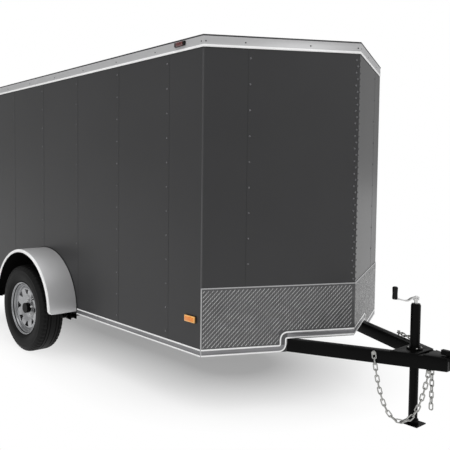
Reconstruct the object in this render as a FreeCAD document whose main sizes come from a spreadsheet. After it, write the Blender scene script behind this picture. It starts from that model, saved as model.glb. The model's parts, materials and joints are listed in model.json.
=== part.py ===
import FreeCAD, Part
import math
import os
import re
import Sketcher
from FreeCAD import Placement, Rotation, Vector

# An enclosed single-axle cargo trailer with a V nose, parked on its wheels and its tongue jack.
# +X points forward to the coupler, +Y to the trailer's left, +Z up, in millimetres. The origin is
# on the ground under the middle of the whole trailer, from the lock rods to the coupler's nose.

SIZES = (
    # box body
    ("box_length", 3048),         # front corners to the rear face of the doors
    ("body_width", 1829),         # over the side skins
    ("nose_depth", 406),          # front corners to the point of the V
    ("frame_base", 350),          # ground to the underside of the frame
    ("wall_height", 1751),        # frame top to roof underside
    ("wall_thick", 38),           # skin, post and lining together
    ("skin_thick", 3),            # skirt of the skin that hangs over the frame
    ("roof_thick", 38),
    ("floor_thick", 19),
    # frame
    ("rail_height", 76),
    ("rail_width", 51),
    ("crossmember_width", 38),
    ("crossmember_pitch", 406),
    ("tongue_angle", 27.5),       # each tongue rail from the centre line
    ("tongue_apex", 1015),        # front corners to where the rails' outer faces would meet
    ("tongue_tip", 975),          # front corners to the cut ends of the rails
    # trims and stone guard
    ("trim_thick", 3),
    ("roof_trim_height", 70),
    ("lower_trim_height", 44),
    ("nose_trim_lift", 4),        # raised nose trim above the tongue rails
    ("guard_height", 407),        # frame underside to the stone guard's top edge
    ("guard_thick", 2),
    # rear frame and doors
    ("post_width", 60),
    ("post_depth", 51),
    ("header_height", 76),
    ("door_thick", 38),
    ("door_gap", 6),
    ("strap_height", 50),
    ("strap_thick", 6),
    ("strap_reach", 200),         # strap's length on the door
    ("strap_stand", 5),           # strap off the post's face
    ("pin_stand", 14),            # hinge pin behind the door's face
    ("pin_side", 2),              # hinge pin outside the skin
    ("pin_radius", 5),
    ("knuckle_radius", 10),
    ("knuckle_height", 20),
    ("leaf_thick", 5),
    ("leaf_reach", 40),
    ("knuckle_gap", 1),
    ("hinge_count", 3),
    ("hinge_low", 700),
    ("hinge_pitch", 600),
    ("lock_rod_radius", 12),
    ("lock_rod_stand", 18),       # rod's centre behind the door's face
    ("lock_rod_inset", 120),      # rod's centre from the door's closing edge
    ("lock_rod_end", 20),         # rod's ends inside the door's edges
    ("lock_guide_height", 40),
    ("lock_guide_width", 60),
    ("lock_guide_end", 60),       # outer guides from the rod's ends
    ("lock_guide_rise", 130),     # middle guide above the handle
    ("lock_handle_height", 1050),
    ("lock_handle_length", 320),
    ("lock_handle_width", 30),
    ("lock_handle_thick", 12),
    ("lock_catch_inset", 20),     # catch from the handle's end
    ("lock_catch_width", 50),
    ("lock_catch_height", 46),
    # running gear
    ("axle_setback", 1780),       # front corners to the axle's centre
    ("tyre_radius", 343),
    ("tyre_width", 205),
    ("tyre_clearance", 3),        # tyre to the axle's riser
    ("wheel_spread", 2114),       # between the tyres' centre planes
    ("rim_radius", 192),          # bead seat
    ("rim_lip_radius", 208),
    ("rim_lip_width", 7),
    ("rim_lip_slope", 3),         # from the lip down to the bead seat
    ("bead_inset", 12),           # tyre's bead inside the rim's lips
    ("rim_width", 168),           # over the lips
    ("rim_thick", 9),
    ("disc_offset", 20),          # wheel's centre plane to its mounting face
    ("disc_thick", 8),
    ("disc_dish", 14),            # mounting face to the disc's outer ring
    ("disc_ring_width", 30),
    ("disc_centre_margin", 12),   # flat centre beyond the hub's flange
    ("window_count", 8),
    ("window_inner_half", 11),
    ("window_outer_half", 31),
    ("window_inner_margin", 26),  # window beyond the hub's flange
    ("window_outer_margin", 22),  # window inside the rim
    ("hub_radius", 38),
    ("hub_flange_radius", 70),
    ("hub_flange_thick", 12),
    ("hub_cap_margin", 2),        # cap's radius over the hub's
    ("hub_back", 60),             # wheel's centre plane to the hub's inner end
    ("hub_cap_reach", 50),        # cap beyond the mounting face
    ("spindle_radius", 15.7),
    ("spindle_reach", 20),        # spindle beyond the mounting face
    ("spindle_root", 5),          # spindle's start inside the riser's face
    ("spindle_end_gap", 2),
    ("running_gap", 0.3),
    ("axle_radius", 30),
    ("axle_drop", 102),           # spindle above the beam
    ("riser_thick", 34),
    ("riser_margin", 5),          # riser beyond the beam, to each side
    ("spring_width", 44),
    ("spring_span", 641),         # eye to eye
    ("spring_camber", 10),
    ("leaf_spring_thick", 8),
    ("spring_seat", 6),
    ("spring_seat_half", 45),
    ("spring_eye_radius", 17),
    ("spring_bolt_radius", 7.7),
    ("hanger_thick", 6),
    ("hanger_length", 64),
    ("cheek_gap", 0.5),           # hanger's cheek to the spring's side
    ("cheek_drop", 20),           # cheek below the eye's centre
    ("eye_bolt_reach", 8),        # bolt's ends beyond the spring's sides
    ("clamp_half", 52),
    ("clamp_side", 8),            # clamp plate beyond the spring's sides
    ("clamp_thick", 6),
    ("clamp_bolt_half", 42),
    ("clamp_bolt_side", 5.5),     # bolt's centre from the spring's side
    ("clamp_bolt_radius", 5),
    ("fender_radius", 445),
    ("fender_width", 250),
    ("fender_thick", 4),
    ("fender_base", 372),         # ground to the fender's lower edges
    ("fender_lip", 16),
    # coupler
    ("ball_reach", 1085),         # front corners to the ball's centre
    ("coupler_reach", 1150),      # front corners to the coupler's nose
    ("ball_socket_radius", 25.9),
    ("ball_rise", 10),            # ball's centre above the rails' top
    ("socket_depth", 24),         # straight wall of the socket under the ball's centre
    ("socket_wall", 12),
    ("neck_inset", 6),            # neck inside the socket's outer wall
    ("nose_half", 16),
    ("nose_rise", 6),             # nose's top above the ball's centre
    ("boss_rise", 2),             # latch boss above the socket
    ("coupler_plate", 6),
    ("coupler_back", 870),        # front corners to the plate's rear edge
    ("latch_length", 150),        # handle's end to the ball's centre
    ("latch_half", 13),           # half the handle's width
    ("latch_rise", 6),            # air under the handle
    ("latch_strap_thick", 9),
    ("latch_stem_inset", 2),
    # jack
    ("jack_reach", 785),          # front corners to the jack's axis
    ("jack_radius", 26),
    ("jack_bore", 24.2),
    ("jack_top", 683),
    ("jack_cap_height", 8),
    ("jack_cap_inset", 3),
    ("jack_top_wall", 10),
    ("jack_plate_half", 62),      # half the plate's length along the tongue
    ("jack_flange_radius", 42),
    ("jack_base", 330),
    ("leg_radius", 23.9),
    ("leg_top", 450),
    ("foot_width", 100),
    ("foot_thick", 6),
    ("foot_collar_wall", 6),
    ("foot_collar_height", 22),
    ("crank_length", 119),
    ("crank_angle", 233),         # crank arm's direction, from +X towards +Y
    ("crank_rise", 24),           # top of the tube to the crank arm
    ("crank_width", 22),
    ("crank_thick", 6),
    ("crank_shaft_radius", 8),
    ("grip_radius", 15),
    ("grip_length", 70),
    # lights and plate
    ("side_light_length", 90),
    ("side_light_height", 42),
    ("side_light_setback", 38),
    ("side_light_base", 541),
    ("side_light_depth", 18),
    ("marker_length", 93),
    ("marker_height", 28),
    ("marker_setback", 145),
    ("marker_depth", 16),
    ("marker_rise", 9),           # above the middle of the roof trim
    ("tail_light_width", 48),
    ("tail_light_height", 140),
    ("tail_light_base", 470),
    ("tail_light_depth", 20),
    ("plate_width", 305),
    ("plate_height", 152),
    ("plate_base", 480),
    ("plate_thick", 4),
    ("plate_inset", 40),          # plate from the door's outer edge
    # safety chains
    ("chain_wire", 7),            # diameter
    ("chain_pitch", 33),
    ("chain_slack", 0.8),         # play between neighbouring links
    ("link_width", 26),           # over the wires
    ("chain_bolt_radius", 4.2),
    ("chain_head_radius", 9.2),
    ("chain_head_thick", 6),
    ("chain_reach", 650),         # front corners to the right chain's bolt
    ("chain_tail_reach", 888),    # front corners to the chains' ends under the tongue
    ("chain_tail_side", 42),      # the right chain's end to the middle plane
    ("chain_hang_side", 18),      # the left chain's hanging end to the middle plane
    ("chain_hang_back", 12),      # the left chain's hanging end behind the right chain's
    ("chain_hang_length", 231),
    ("chain_rest_reach", 560),    # front corners to the left chain's bolt on its rail
    ("chain_rest_length", 165),
    ("chain_tab_thick", 5),
    ("chain_tab_height", 24),
    ("chain_low", 34),            # ground to the centre of the lowest link
    ("chain_rail_gap", 1.5),      # first link off the rail's face
    ("chain_hang_bow", 2),        # sideways bow of the left chain's hanging stretch
    # cutting
    ("cut_past", 1),              # a cutting shape runs this far past the face it cuts
)

# Lengths of the spring's leaves from the axle to each end, as shares of the span, main leaf first.
LEAF_SHARES = (0.5, 0.38, 0.25)

# Half the tyre's section over the bead: inward from its widest point, and radius.
TYRE_SHAPE = ((10, "rim_lip_radius + 16"), (0, "tyre_radius - 82"), (5, "tyre_radius - 38"),
              (18, "tyre_radius - 9"), (42, "tyre_radius"))
TYRE_BEAD_TOP = "rim_lip_radius + 4"

ROUGH_RADIUS = 900      # first guess of a sketch's corners, before its sizes are set
CURVE_STEPS = 40        # points along a hanging chain
HALVINGS = 60           # steps of the search for a hanging chain's shape

doc = FreeCAD.newDocument("cargo_trailer")
sheet = doc.addObject("Spreadsheet::Sheet", "sizes")
for row, (alias, value) in enumerate(SIZES, start=1):
    sheet.set(f"A{row}", alias)
    sheet.set(f"B{row}", str(value))
    sheet.setAlias(f"B{row}", alias)
doc.recompute()

ALIAS = re.compile(r"\b(" + "|".join(alias for alias, value in SIZES) + r")\b")
NODES = {}


def size(alias):
    """One driving dimension as a number, for counts and for shapes set by code."""
    return float(sheet.get(alias))


def bind(thing, prop, text):
    """Ties a property to the sheet: each alias in the text becomes a reference to its cell."""
    thing.setExpression(prop, ALIAS.sub(r"sizes.\1", str(text)))


def place(thing, x=0, y=0, z=0):
    for axis, text in zip("xyz", (x, y, z)):
        bind(thing, f"Placement.Base.{axis}", text)


def node(thing, label):
    """Names a finished sub-part; its file takes the same name."""
    thing.Label = label
    NODES[label] = thing
    return thing


# ---------------------------------------------------------------- shared places, as expressions

HALF = "(body_width / 2)"
SLANT = "(sqrt(nose_depth ^ 2 + body_width ^ 2 / 4))"
FRONT = "((box_length + lock_rod_stand + lock_rod_radius - coupler_reach) / 2)"
REAR = f"({FRONT} - box_length)"
FRAME_TOP = "(frame_base + rail_height)"
ROOF_BASE = f"({FRAME_TOP} + wall_height)"
ROOF_TOP = f"({ROOF_BASE} + roof_thick)"
TONGUE_SLOPE = "(tan(tongue_angle))"
AXLE_X = f"({FRONT} - axle_setback)"
WHEEL_Y = "(wheel_spread / 2)"
SPRING_Y = f"({HALF} - skin_thick - rail_width / 2)"
BEAM_Z = "(tyre_radius - axle_drop)"
SPRING_BASE = f"({BEAM_Z} + axle_radius + spring_seat)"
BALL_X = f"({FRONT} + ball_reach)"
BALL_Z = f"({FRAME_TOP} + ball_rise)"
JACK_X = f"({FRONT} + jack_reach)"
DOOR_BASE = f"({FRAME_TOP} + door_gap)"
DOOR_TOP = f"({ROOF_BASE} - header_height - door_gap)"
FENDER_FRONT = f"({AXLE_X} + fender_radius)"
FENDER_REAR = f"({AXLE_X} - fender_radius)"


def side_corner(depth):
    """Front right corner of an outline that lies this far inside the outer skin."""
    return (f"{FRONT} - ({depth}) * ({SLANT} - nose_depth) / {HALF}", f"-({HALF} - ({depth}))")


def nose_apex(depth):
    """Point of the V of an outline that lies this far inside the outer skin."""
    return (f"{FRONT} + nose_depth - ({depth}) * {SLANT} / {HALF}", "0")


def nose_at_rail(depth):
    """Where a line this far inside the right nose skin crosses the tongue rail's outer face."""
    y = (f"((tongue_apex - nose_depth + ({depth}) * {SLANT} / {HALF})"
         f" / (nose_depth / {HALF} - 1 / {TONGUE_SLOPE}))")
    return (f"{FRONT} + tongue_apex + {y} / {TONGUE_SLOPE}", y)


def rail_outer(x):
    """Y of the right tongue rail's outer face at a distance forward of the front corners."""
    return f"-(tongue_apex - ({x})) * {TONGUE_SLOPE}"


def left_of(corners):
    """The same outline on the trailer's left, walked backwards."""
    return [(x, f"-({y})") for x, y in reversed(corners)]


# ---------------------------------------------------------------- ways of making a solid

def box(name, x, y, z, length, width, height):
    """A block from its lowest corner."""
    block = doc.addObject("Part::Box", name)
    bind(block, "Length", length)
    bind(block, "Width", width)
    bind(block, "Height", height)
    place(block, x, y, z)
    return block


TURNS = {"Z": Rotation(), "X": Rotation(Vector(0, 1, 0), 90), "-Y": Rotation(Vector(1, 0, 0), 90)}


def rod(name, x, y, z, radius, length, along="Z", angle=360):
    """A round bar from the centre of its first end; an angle of 180 keeps its upper half."""
    bar = doc.addObject("Part::Cylinder", name)
    bar.Placement = Placement(Vector(), TURNS[along])
    bind(bar, "Radius", radius)
    bind(bar, "Height", length)
    bind(bar, "Angle", angle)
    place(bar, x, y, z)
    return bar


def ball(name, x, y, z, radius):
    round_end = doc.addObject("Part::Sphere", name)
    bind(round_end, "Radius", radius)
    place(round_end, x, y, z)
    return round_end


def outline(body, name, corners, role="XY_Plane"):
    """A closed sketch of straight edges, each corner held at its own x and y."""
    sketch = body.newObject("Sketcher::SketchObject", name)
    plane = next(part for part in body.Origin.OriginFeatures if part.Role == role)
    sketch.AttachmentSupport = [(plane, "")]
    sketch.MapMode = "FlatFace"
    count = len(corners)
    turn = 2 * math.pi / count
    rough = [Vector(math.cos(turn * i), math.sin(turn * i), 0) * ROUGH_RADIUS
             for i in range(count)]
    for i in range(count):
        sketch.addGeometry(Part.LineSegment(rough[i], rough[(i + 1) % count]))
    for i in range(count):
        sketch.addConstraint(Sketcher.Constraint("Coincident", i, 2, (i + 1) % count, 1))
    for i, corner in enumerate(corners):
        for kind, text, start in zip(("DistanceX", "DistanceY"), corner, rough[i]):
            held = sketch.addConstraint(Sketcher.Constraint(kind, -1, 1, i, 1, start))
            bind(sketch, f"Constraints[{held}]", text)
    return sketch


def prism(name, corners, base, height):
    """A flat outline seen from above, padded upwards from its base."""
    body = doc.addObject("PartDesign::Body", name)
    sketch = outline(body, name + "_outline", corners)
    bind(sketch, "AttachmentOffset.Base.z", base)
    pad = body.newObject("PartDesign::Pad", name + "_pad")
    pad.Profile = sketch
    bind(pad, "Length", height)
    return body


def turned(name, section):
    """A right-hand wheel part: a section of (outboard, radius) corners turned about the axle."""
    body = doc.addObject("PartDesign::Body", name)
    sketch = outline(body, name + "_section", section)
    turning = body.newObject("PartDesign::Revolution", name + "_turned")
    turning.Profile = sketch
    turning.ReferenceAxis = (sketch, ["H_Axis"])
    turning.Angle = 360
    body.Placement = Placement(Vector(), Rotation(Vector(0, 0, 1), -90))
    place(body, AXLE_X, f"-{WHEEL_Y}", "tyre_radius")
    return body


def cut(name, base, tool):
    result = doc.addObject("Part::Cut", name)
    result.Base = base
    result.Tool = tool
    return result


def common(name, base, tool):
    result = doc.addObject("Part::Common", name)
    result.Base = base
    result.Tool = tool
    return result


def fused(name, *parts):
    """One solid made of parts that touch or overlap."""
    result = doc.addObject("Part::MultiFuse", name)
    result.Shapes = list(parts)
    result.Refine = True
    return result


def together(name, *parts):
    """Separate solids kept in one sub-part."""
    result = doc.addObject("Part::Compound", name)
    result.Links = list(parts)
    return result


def mirrored(name, source):
    """The same part on the trailer's left."""
    result = doc.addObject("Part::Mirroring", name)
    result.Source = source
    result.Normal = (0, 1, 0)
    return result


def pair(label, right):
    """Names a right-hand part and makes its left-hand twin."""
    node(right, label + "_right")
    node(mirrored(label + "_left", right), label + "_left")


# ---------------------------------------------------------------- frame

def make_frame():
    rail_front = side_corner("skin_thick")[0]
    rail_side = f"-({HALF} - skin_thick)"
    rail = box("main_rail", REAR, rail_side, "frame_base",
               f"{rail_front} - {REAR}", "rail_width", "rail_height")
    pair("main_rail", rail)

    inner = f"({HALF} - skin_thick - rail_width)"
    sill = box("sill", REAR, f"-{inner}", "frame_base", "rail_width", f"2 * {inner}", "rail_height")
    node(sill, "rear_sill")

    members = [box("front_member", f"{rail_front} - rail_width", f"-{inner}", "frame_base",
                   "rail_width", f"2 * {inner}", "rail_height")]
    count = int(size("box_length") / size("crossmember_pitch"))
    for step in range(1, count):
        members.append(box(f"member_{step}", f"{REAR} + {step} * crossmember_pitch", f"-{inner}",
                           "frame_base", "crossmember_width", f"2 * {inner}", "rail_height"))
    node(together("crossmember_set", *members), "crossmembers")

    deep = "skin_thick + rail_width"
    nose_back = (f"-({HALF} - ({deep}) * {SLANT} / nose_depth"
                 f" + skin_thick * ({SLANT} - nose_depth) / nose_depth)")
    nose_corners = [side_corner("skin_thick"), nose_at_rail("skin_thick"), nose_at_rail(deep),
                    (rail_front, nose_back)]
    right = prism("nose_member", nose_corners, "frame_base", "rail_height")
    node(together("nose_members", right, mirrored("nose_member_left", right)), "nose_frame")

    across = "rail_width / cos(tongue_angle)"
    back = f"({rail_front} - {FRONT})"
    tongue_corners = [
        (rail_front, rail_outer(back)),
        (f"{FRONT} + tongue_tip", rail_outer("tongue_tip")),
        (f"{FRONT} + tongue_tip", "0"),
        (f"{FRONT} + tongue_apex - rail_width / sin(tongue_angle)", "0"),
        (rail_front, f"{rail_outer(back)} + {across}"),
    ]
    pair("tongue_rail", prism("tongue_rail", tongue_corners, "frame_base", "rail_height"))


# ---------------------------------------------------------------- floor, walls and roof

def make_box_body():
    floor_side = [(f"{REAR} + post_depth", f"-({HALF} - wall_thick)"),
                  side_corner("wall_thick")]
    floor_corners = floor_side + [nose_apex("wall_thick")] + left_of(floor_side)
    node(prism("floor_panel", floor_corners, FRAME_TOP, "floor_thick"), "floor_deck")

    wall_corners = [(f"{REAR} + post_depth", f"-{HALF}"), side_corner("0"),
                    side_corner("wall_thick"), (f"{REAR} + post_depth", f"-({HALF} - wall_thick)")]
    skirt_corners = [(REAR, f"-{HALF}"), side_corner("0"),
                     side_corner("skin_thick"), (REAR, f"-({HALF} - skin_thick)")]
    pair("side_wall", fused("side_wall",
                            prism("side_panel", wall_corners, FRAME_TOP, "wall_height"),
                            prism("side_skirt", skirt_corners, "frame_base", "rail_height")))

    nose_corners = [side_corner("0"), nose_apex("0"), nose_apex("wall_thick"),
                    side_corner("wall_thick")]
    nose_skirt = [side_corner("0"), nose_at_rail("0"), nose_at_rail("skin_thick"),
                  side_corner("skin_thick")]
    pair("nose_wall", fused("nose_wall",
                            prism("nose_panel", nose_corners, FRAME_TOP, "wall_height"),
                            prism("nose_skirt", nose_skirt, "frame_base", "rail_height")))

    roof_side = [(REAR, f"-{HALF}"), side_corner("0")]
    roof_corners = roof_side + [nose_apex("0")] + left_of(roof_side)
    node(prism("roof_panel", roof_corners, ROOF_BASE, "roof_thick"), "roof")


# ---------------------------------------------------------------- trims and stone guard

def make_trims():
    proud = "-trim_thick"
    outer = [(REAR, f"-({HALF} + trim_thick)"), side_corner(proud)]
    inner = [(REAR, f"-{HALF}"), side_corner("0")]
    ring = outer + [nose_apex(proud)] + left_of(outer)
    ring += left_of(inner)[::-1] + [nose_apex("0")] + inner[::-1]
    node(prism("roof_band", ring, f"{ROOF_TOP} - roof_trim_height", "roof_trim_height"), "roof_trim")

    front_run = [(FENDER_FRONT, f"-({HALF} + trim_thick)"), side_corner(proud), side_corner("0"),
                 (FENDER_FRONT, f"-{HALF}")]
    pair("lower_trim", together(
        "lower_trim",
        prism("trim_front", front_run, "frame_base", "lower_trim_height"),
        box("trim_rear", REAR, f"-({HALF} + trim_thick)", "frame_base",
            f"{FENDER_REAR} - {REAR}", "trim_thick", "lower_trim_height")))

    low_run = [side_corner("0"), side_corner(proud), nose_at_rail(proud), nose_at_rail("0")]
    low = prism("nose_trim_low", low_run, "frame_base", "lower_trim_height")
    high_run = [nose_at_rail("0"), nose_at_rail(proud)]
    high_ring = high_run + [nose_apex(proud)] + left_of(high_run) + [nose_apex("0")]
    high = prism("nose_trim_high", high_ring, f"{FRAME_TOP} + nose_trim_lift", "lower_trim_height")
    node(together("nose_trims", low, mirrored("nose_trim_low_left", low), high), "nose_trim")

    sheet_out = "-guard_thick"
    low_base = "(frame_base + lower_trim_height)"
    high_base = f"({FRAME_TOP} + nose_trim_lift + lower_trim_height)"
    low_plate = [side_corner("0"), side_corner(sheet_out), nose_at_rail(sheet_out),
                 nose_at_rail("0")]
    high_plate = [side_corner("0"), side_corner(sheet_out), nose_apex(sheet_out), nose_apex("0")]
    pair("stone_guard", fused(
        "stone_guard",
        prism("guard_low", low_plate, low_base, f"{high_base} - {low_base}"),
        prism("guard_high", high_plate, high_base, f"frame_base + guard_height - {high_base}")))


# ---------------------------------------------------------------- rear frame and doors

def hinge_heights():
    return [f"(hinge_low + {step} * hinge_pitch)" for step in range(int(size("hinge_count")))]


def make_rear():
    post = box("post", REAR, f"-{HALF}", FRAME_TOP, "post_depth", "post_width", "wall_height")
    pair("rear_post", post)
    opening = f"({HALF} - post_width)"
    node(box("header", REAR, f"-{opening}", f"{ROOF_BASE} - header_height",
             "post_depth", f"2 * {opening}", "header_height"), "rear_header")
    door = box("door", REAR, f"-({opening} - door_gap)", DOOR_BASE, "door_thick",
               f"{opening} - door_gap - door_gap / 2", f"{DOOR_TOP} - {DOOR_BASE}")
    pair("rear_door", door)

    pin_x = f"({REAR} - pin_stand)"
    pin_y = f"-({HALF} + pin_side)"
    lugs = []
    straps = []
    for step, height in enumerate(hinge_heights()):
        half_strap = "strap_height / 2"
        reach = "(knuckle_height + knuckle_gap)"
        parts = [rod(f"pin_{step}", pin_x, pin_y, f"{height} - {half_strap} - {reach}",
                     "pin_radius", f"strap_height + 2 * {reach}")]
        for side, base in (("low", f"{height} - {half_strap} - {reach}"),
                           ("high", f"{height} + {half_strap} + knuckle_gap")):
            parts.append(rod(f"lug_{side}_{step}", pin_x, pin_y, base,
                             "knuckle_radius", "knuckle_height"))
            parts.append(box(f"leaf_{side}_{step}", f"{REAR} - leaf_thick", pin_y, base,
                             "leaf_thick", "leaf_reach + pin_side", "knuckle_height"))
        lugs.append(fused(f"lug_{step}", *parts))

        base = f"{height} - {half_strap}"
        knuckle = rod(f"knuckle_{step}", pin_x, pin_y, base, "knuckle_radius", "strap_height")
        door_edge = "(pin_side + post_width + door_gap)"
        strap = box(f"strap_{step}", f"{REAR} - strap_stand - strap_thick", pin_y, base,
                    "strap_thick", f"{door_edge} + strap_reach", "strap_height")
        pad = box(f"strap_pad_{step}", f"{REAR} - strap_stand", f"{pin_y} + {door_edge}", base,
                  "strap_stand", "strap_reach", "strap_height")
        bore = rod(f"strap_bore_{step}", pin_x, pin_y, f"{base} - cut_past",
                   "pin_radius + running_gap", "strap_height + 2 * cut_past")
        straps.append(cut(f"hinge_strap_{step}", fused(f"strap_body_{step}", knuckle, strap, pad),
                          bore))
    lug_set = together("lugs", *lugs)
    node(together("hinge_lug_set", lug_set, mirrored("lugs_left", lug_set)), "door_hinge_lugs")
    pair("hinge_straps", together("straps", *straps))


def make_door_locks():
    rod_x = f"({REAR} - lock_rod_stand)"
    rod_y = "-(door_gap / 2 + lock_rod_inset)"
    foot = f"({DOOR_BASE} + lock_rod_end)"
    head = f"({DOOR_TOP} - lock_rod_end)"
    parts = [rod("lock_bar", rod_x, rod_y, foot, "lock_rod_radius", f"{head} - {foot}")]
    guide_depth = "lock_rod_stand + lock_rod_radius / 2"
    for step, height in enumerate((f"{foot} + lock_guide_end",
                                   "lock_handle_height + lock_guide_rise",
                                   f"{head} - lock_guide_end - lock_guide_height")):
        parts.append(box(f"lock_guide_{step}", f"{REAR} - ({guide_depth})",
                         f"{rod_y} - lock_guide_width / 2", height,
                         guide_depth, "lock_guide_width", "lock_guide_height"))
    handle_x = f"{rod_x} - lock_handle_thick / 2"
    handle_end = f"{rod_y} - lock_handle_length"
    parts.append(box("lock_handle", handle_x, handle_end, "lock_handle_height",
                     "lock_handle_thick", "lock_handle_length", "lock_handle_width"))
    parts.append(box("lock_catch", handle_x, f"{handle_end} + lock_catch_inset",
                     "lock_handle_height - (lock_catch_height - lock_handle_width) / 2",
                     "lock_rod_stand + lock_handle_thick / 2", "lock_catch_width",
                     "lock_catch_height"))
    pair("door_lock", fused("door_lock", *parts))


# ---------------------------------------------------------------- axle, springs and wheels

def make_axle():
    beam_end = f"({WHEEL_Y} - tyre_width / 2 - tyre_clearance)"
    beam = rod("beam", AXLE_X, beam_end, BEAM_Z, "axle_radius", f"2 * {beam_end}", along="-Y")
    spindle_end = f"({WHEEL_Y} + disc_offset + spindle_reach)"
    parts = [beam]
    for side, label in ((-1, "right"), (1, "left")):
        riser_y = f"-{beam_end}" if side < 0 else f"({beam_end} - riser_thick)"
        parts.append(box(f"riser_{label}", f"{AXLE_X} - axle_radius - riser_margin", riser_y,
                         f"{BEAM_Z} - axle_radius", "2 * (axle_radius + riser_margin)",
                         "riser_thick", "axle_drop + 2 * axle_radius"))
        spindle_y = f"-({beam_end} - spindle_root)" if side < 0 else spindle_end
        parts.append(rod(f"spindle_{label}", AXLE_X, spindle_y, "tyre_radius", "spindle_radius",
                         f"{spindle_end} - {beam_end} + spindle_root", along="-Y"))
        parts.append(box(f"seat_{label}", f"{AXLE_X} - spring_seat_half",
                         f"{side} * {SPRING_Y} - spring_width / 2", BEAM_Z,
                         "2 * spring_seat_half", "spring_width", "axle_radius + spring_seat"))
    node(fused("axle_beam", *parts), "axle")


def make_springs():
    """The right spring's leaves are slices of rings about one centre far above the axle."""
    radius = "((spring_span ^ 2 / 4 + spring_camber ^ 2) / (2 * spring_camber))"
    top = f"({SPRING_BASE} + {len(LEAF_SHARES)} * leaf_spring_thick)"
    centre_z = f"({top} - leaf_spring_thick / 2 + {radius})"
    edge = f"({SPRING_Y} - spring_width / 2)"
    far_edge = f"({SPRING_Y} + spring_width / 2)"
    parts = []
    for step, share in enumerate(LEAF_SHARES):
        inside = f"({radius} + ({step} - 0.5) * leaf_spring_thick)"
        ring = cut(f"leaf_ring_{step}",
                   rod(f"leaf_out_{step}", AXLE_X, f"-{edge}", centre_z,
                       f"{inside} + leaf_spring_thick", "spring_width", along="-Y"),
                   rod(f"leaf_in_{step}", AXLE_X, f"-{edge} + cut_past", centre_z,
                       inside, "spring_width + 2 * cut_past", along="-Y"))
        span = box(f"leaf_span_{step}", f"{AXLE_X} - {share} * spring_span",
                   f"-{SPRING_Y} - spring_width", f"{SPRING_BASE} - leaf_spring_thick",
                   f"2 * {share} * spring_span", "2 * spring_width",
                   "5 * leaf_spring_thick + 2 * spring_camber")
        parts.append(common(f"leaf_{step}", ring, span))

    eye_z = f"({top} - leaf_spring_thick / 2 + spring_camber)"
    bores = []
    hangers = []
    for side, label in ((-1, "rear"), (1, "front")):
        eye_x = f"({AXLE_X} + {side} * spring_span / 2)"
        parts.append(rod(f"eye_{label}", eye_x, f"-{edge}", eye_z, "spring_eye_radius",
                         "spring_width", along="-Y"))
        bores.append(rod(f"eye_bore_{label}", eye_x, f"-{edge} + cut_past", eye_z,
                         "spring_bolt_radius + running_gap", "spring_width + 2 * cut_past",
                         along="-Y"))
        hangers.append(make_hanger(label, eye_x, eye_z, edge, far_edge))
    spring = cut("spring", fused("spring_blank", *parts), together("eye_bores", *bores))
    pair("leaf_spring", spring)
    hanger_set = together("hangers", *hangers)
    node(together("hanger_sets", hanger_set, mirrored("hangers_left", hanger_set)),
         "spring_hangers")
    make_clamps(top)


def make_hanger(label, eye_x, eye_z, edge, far_edge):
    """Two cheeks and a top plate under the frame, with the bolt that a spring's eye turns on."""
    rear = f"{eye_x} - hanger_length / 2"
    outer = f"-({far_edge} + cheek_gap + hanger_thick)"
    cheek_base = f"{eye_z} - cheek_drop"
    cheek_height = f"frame_base - {eye_z} + cheek_drop"
    return fused(f"hanger_{label}",
                 box(f"cheek_out_{label}", rear, outer, cheek_base, "hanger_length",
                     "hanger_thick", cheek_height),
                 box(f"cheek_in_{label}", rear, f"-{edge} + cheek_gap", cheek_base,
                     "hanger_length", "hanger_thick", cheek_height),
                 box(f"hanger_top_{label}", rear, outer, "frame_base - hanger_thick",
                     "hanger_length", "spring_width + 2 * (cheek_gap + hanger_thick)",
                     "hanger_thick"),
                 rod(f"eye_bolt_{label}", eye_x, f"-{edge} + eye_bolt_reach", eye_z,
                     "spring_bolt_radius", "spring_width + 2 * eye_bolt_reach", along="-Y"))


def make_clamps(spring_top):
    """Plates over the spring and under the axle, pulled together by four bolts."""
    beam_low = f"({BEAM_Z} - axle_radius)"
    side = "(spring_width / 2 + clamp_side)"
    parts = []
    for label, base in (("top", f"{spring_top} + running_gap"),
                        ("base", f"{beam_low} - clamp_thick")):
        parts.append(box(f"clamp_{label}", f"{AXLE_X} - clamp_half", f"-{SPRING_Y} - {side}",
                         base, "2 * clamp_half", f"2 * {side}", "clamp_thick"))
    for tag, (ahead, across) in enumerate((("-", "-"), ("-", "+"), ("+", "-"), ("+", "+"))):
        parts.append(rod(f"clamp_bolt_{tag}", f"{AXLE_X} {ahead} clamp_bolt_half",
                         f"-{SPRING_Y} {across} (spring_width / 2 + clamp_bolt_side)",
                         f"{beam_low} - 2 * clamp_thick", "clamp_bolt_radius",
                         f"{spring_top} - {beam_low} + 4 * clamp_thick"))
    clamp = fused("clamp", *parts)
    node(together("clamps", clamp, mirrored("clamp_left", clamp)), "spring_clamps")


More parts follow.
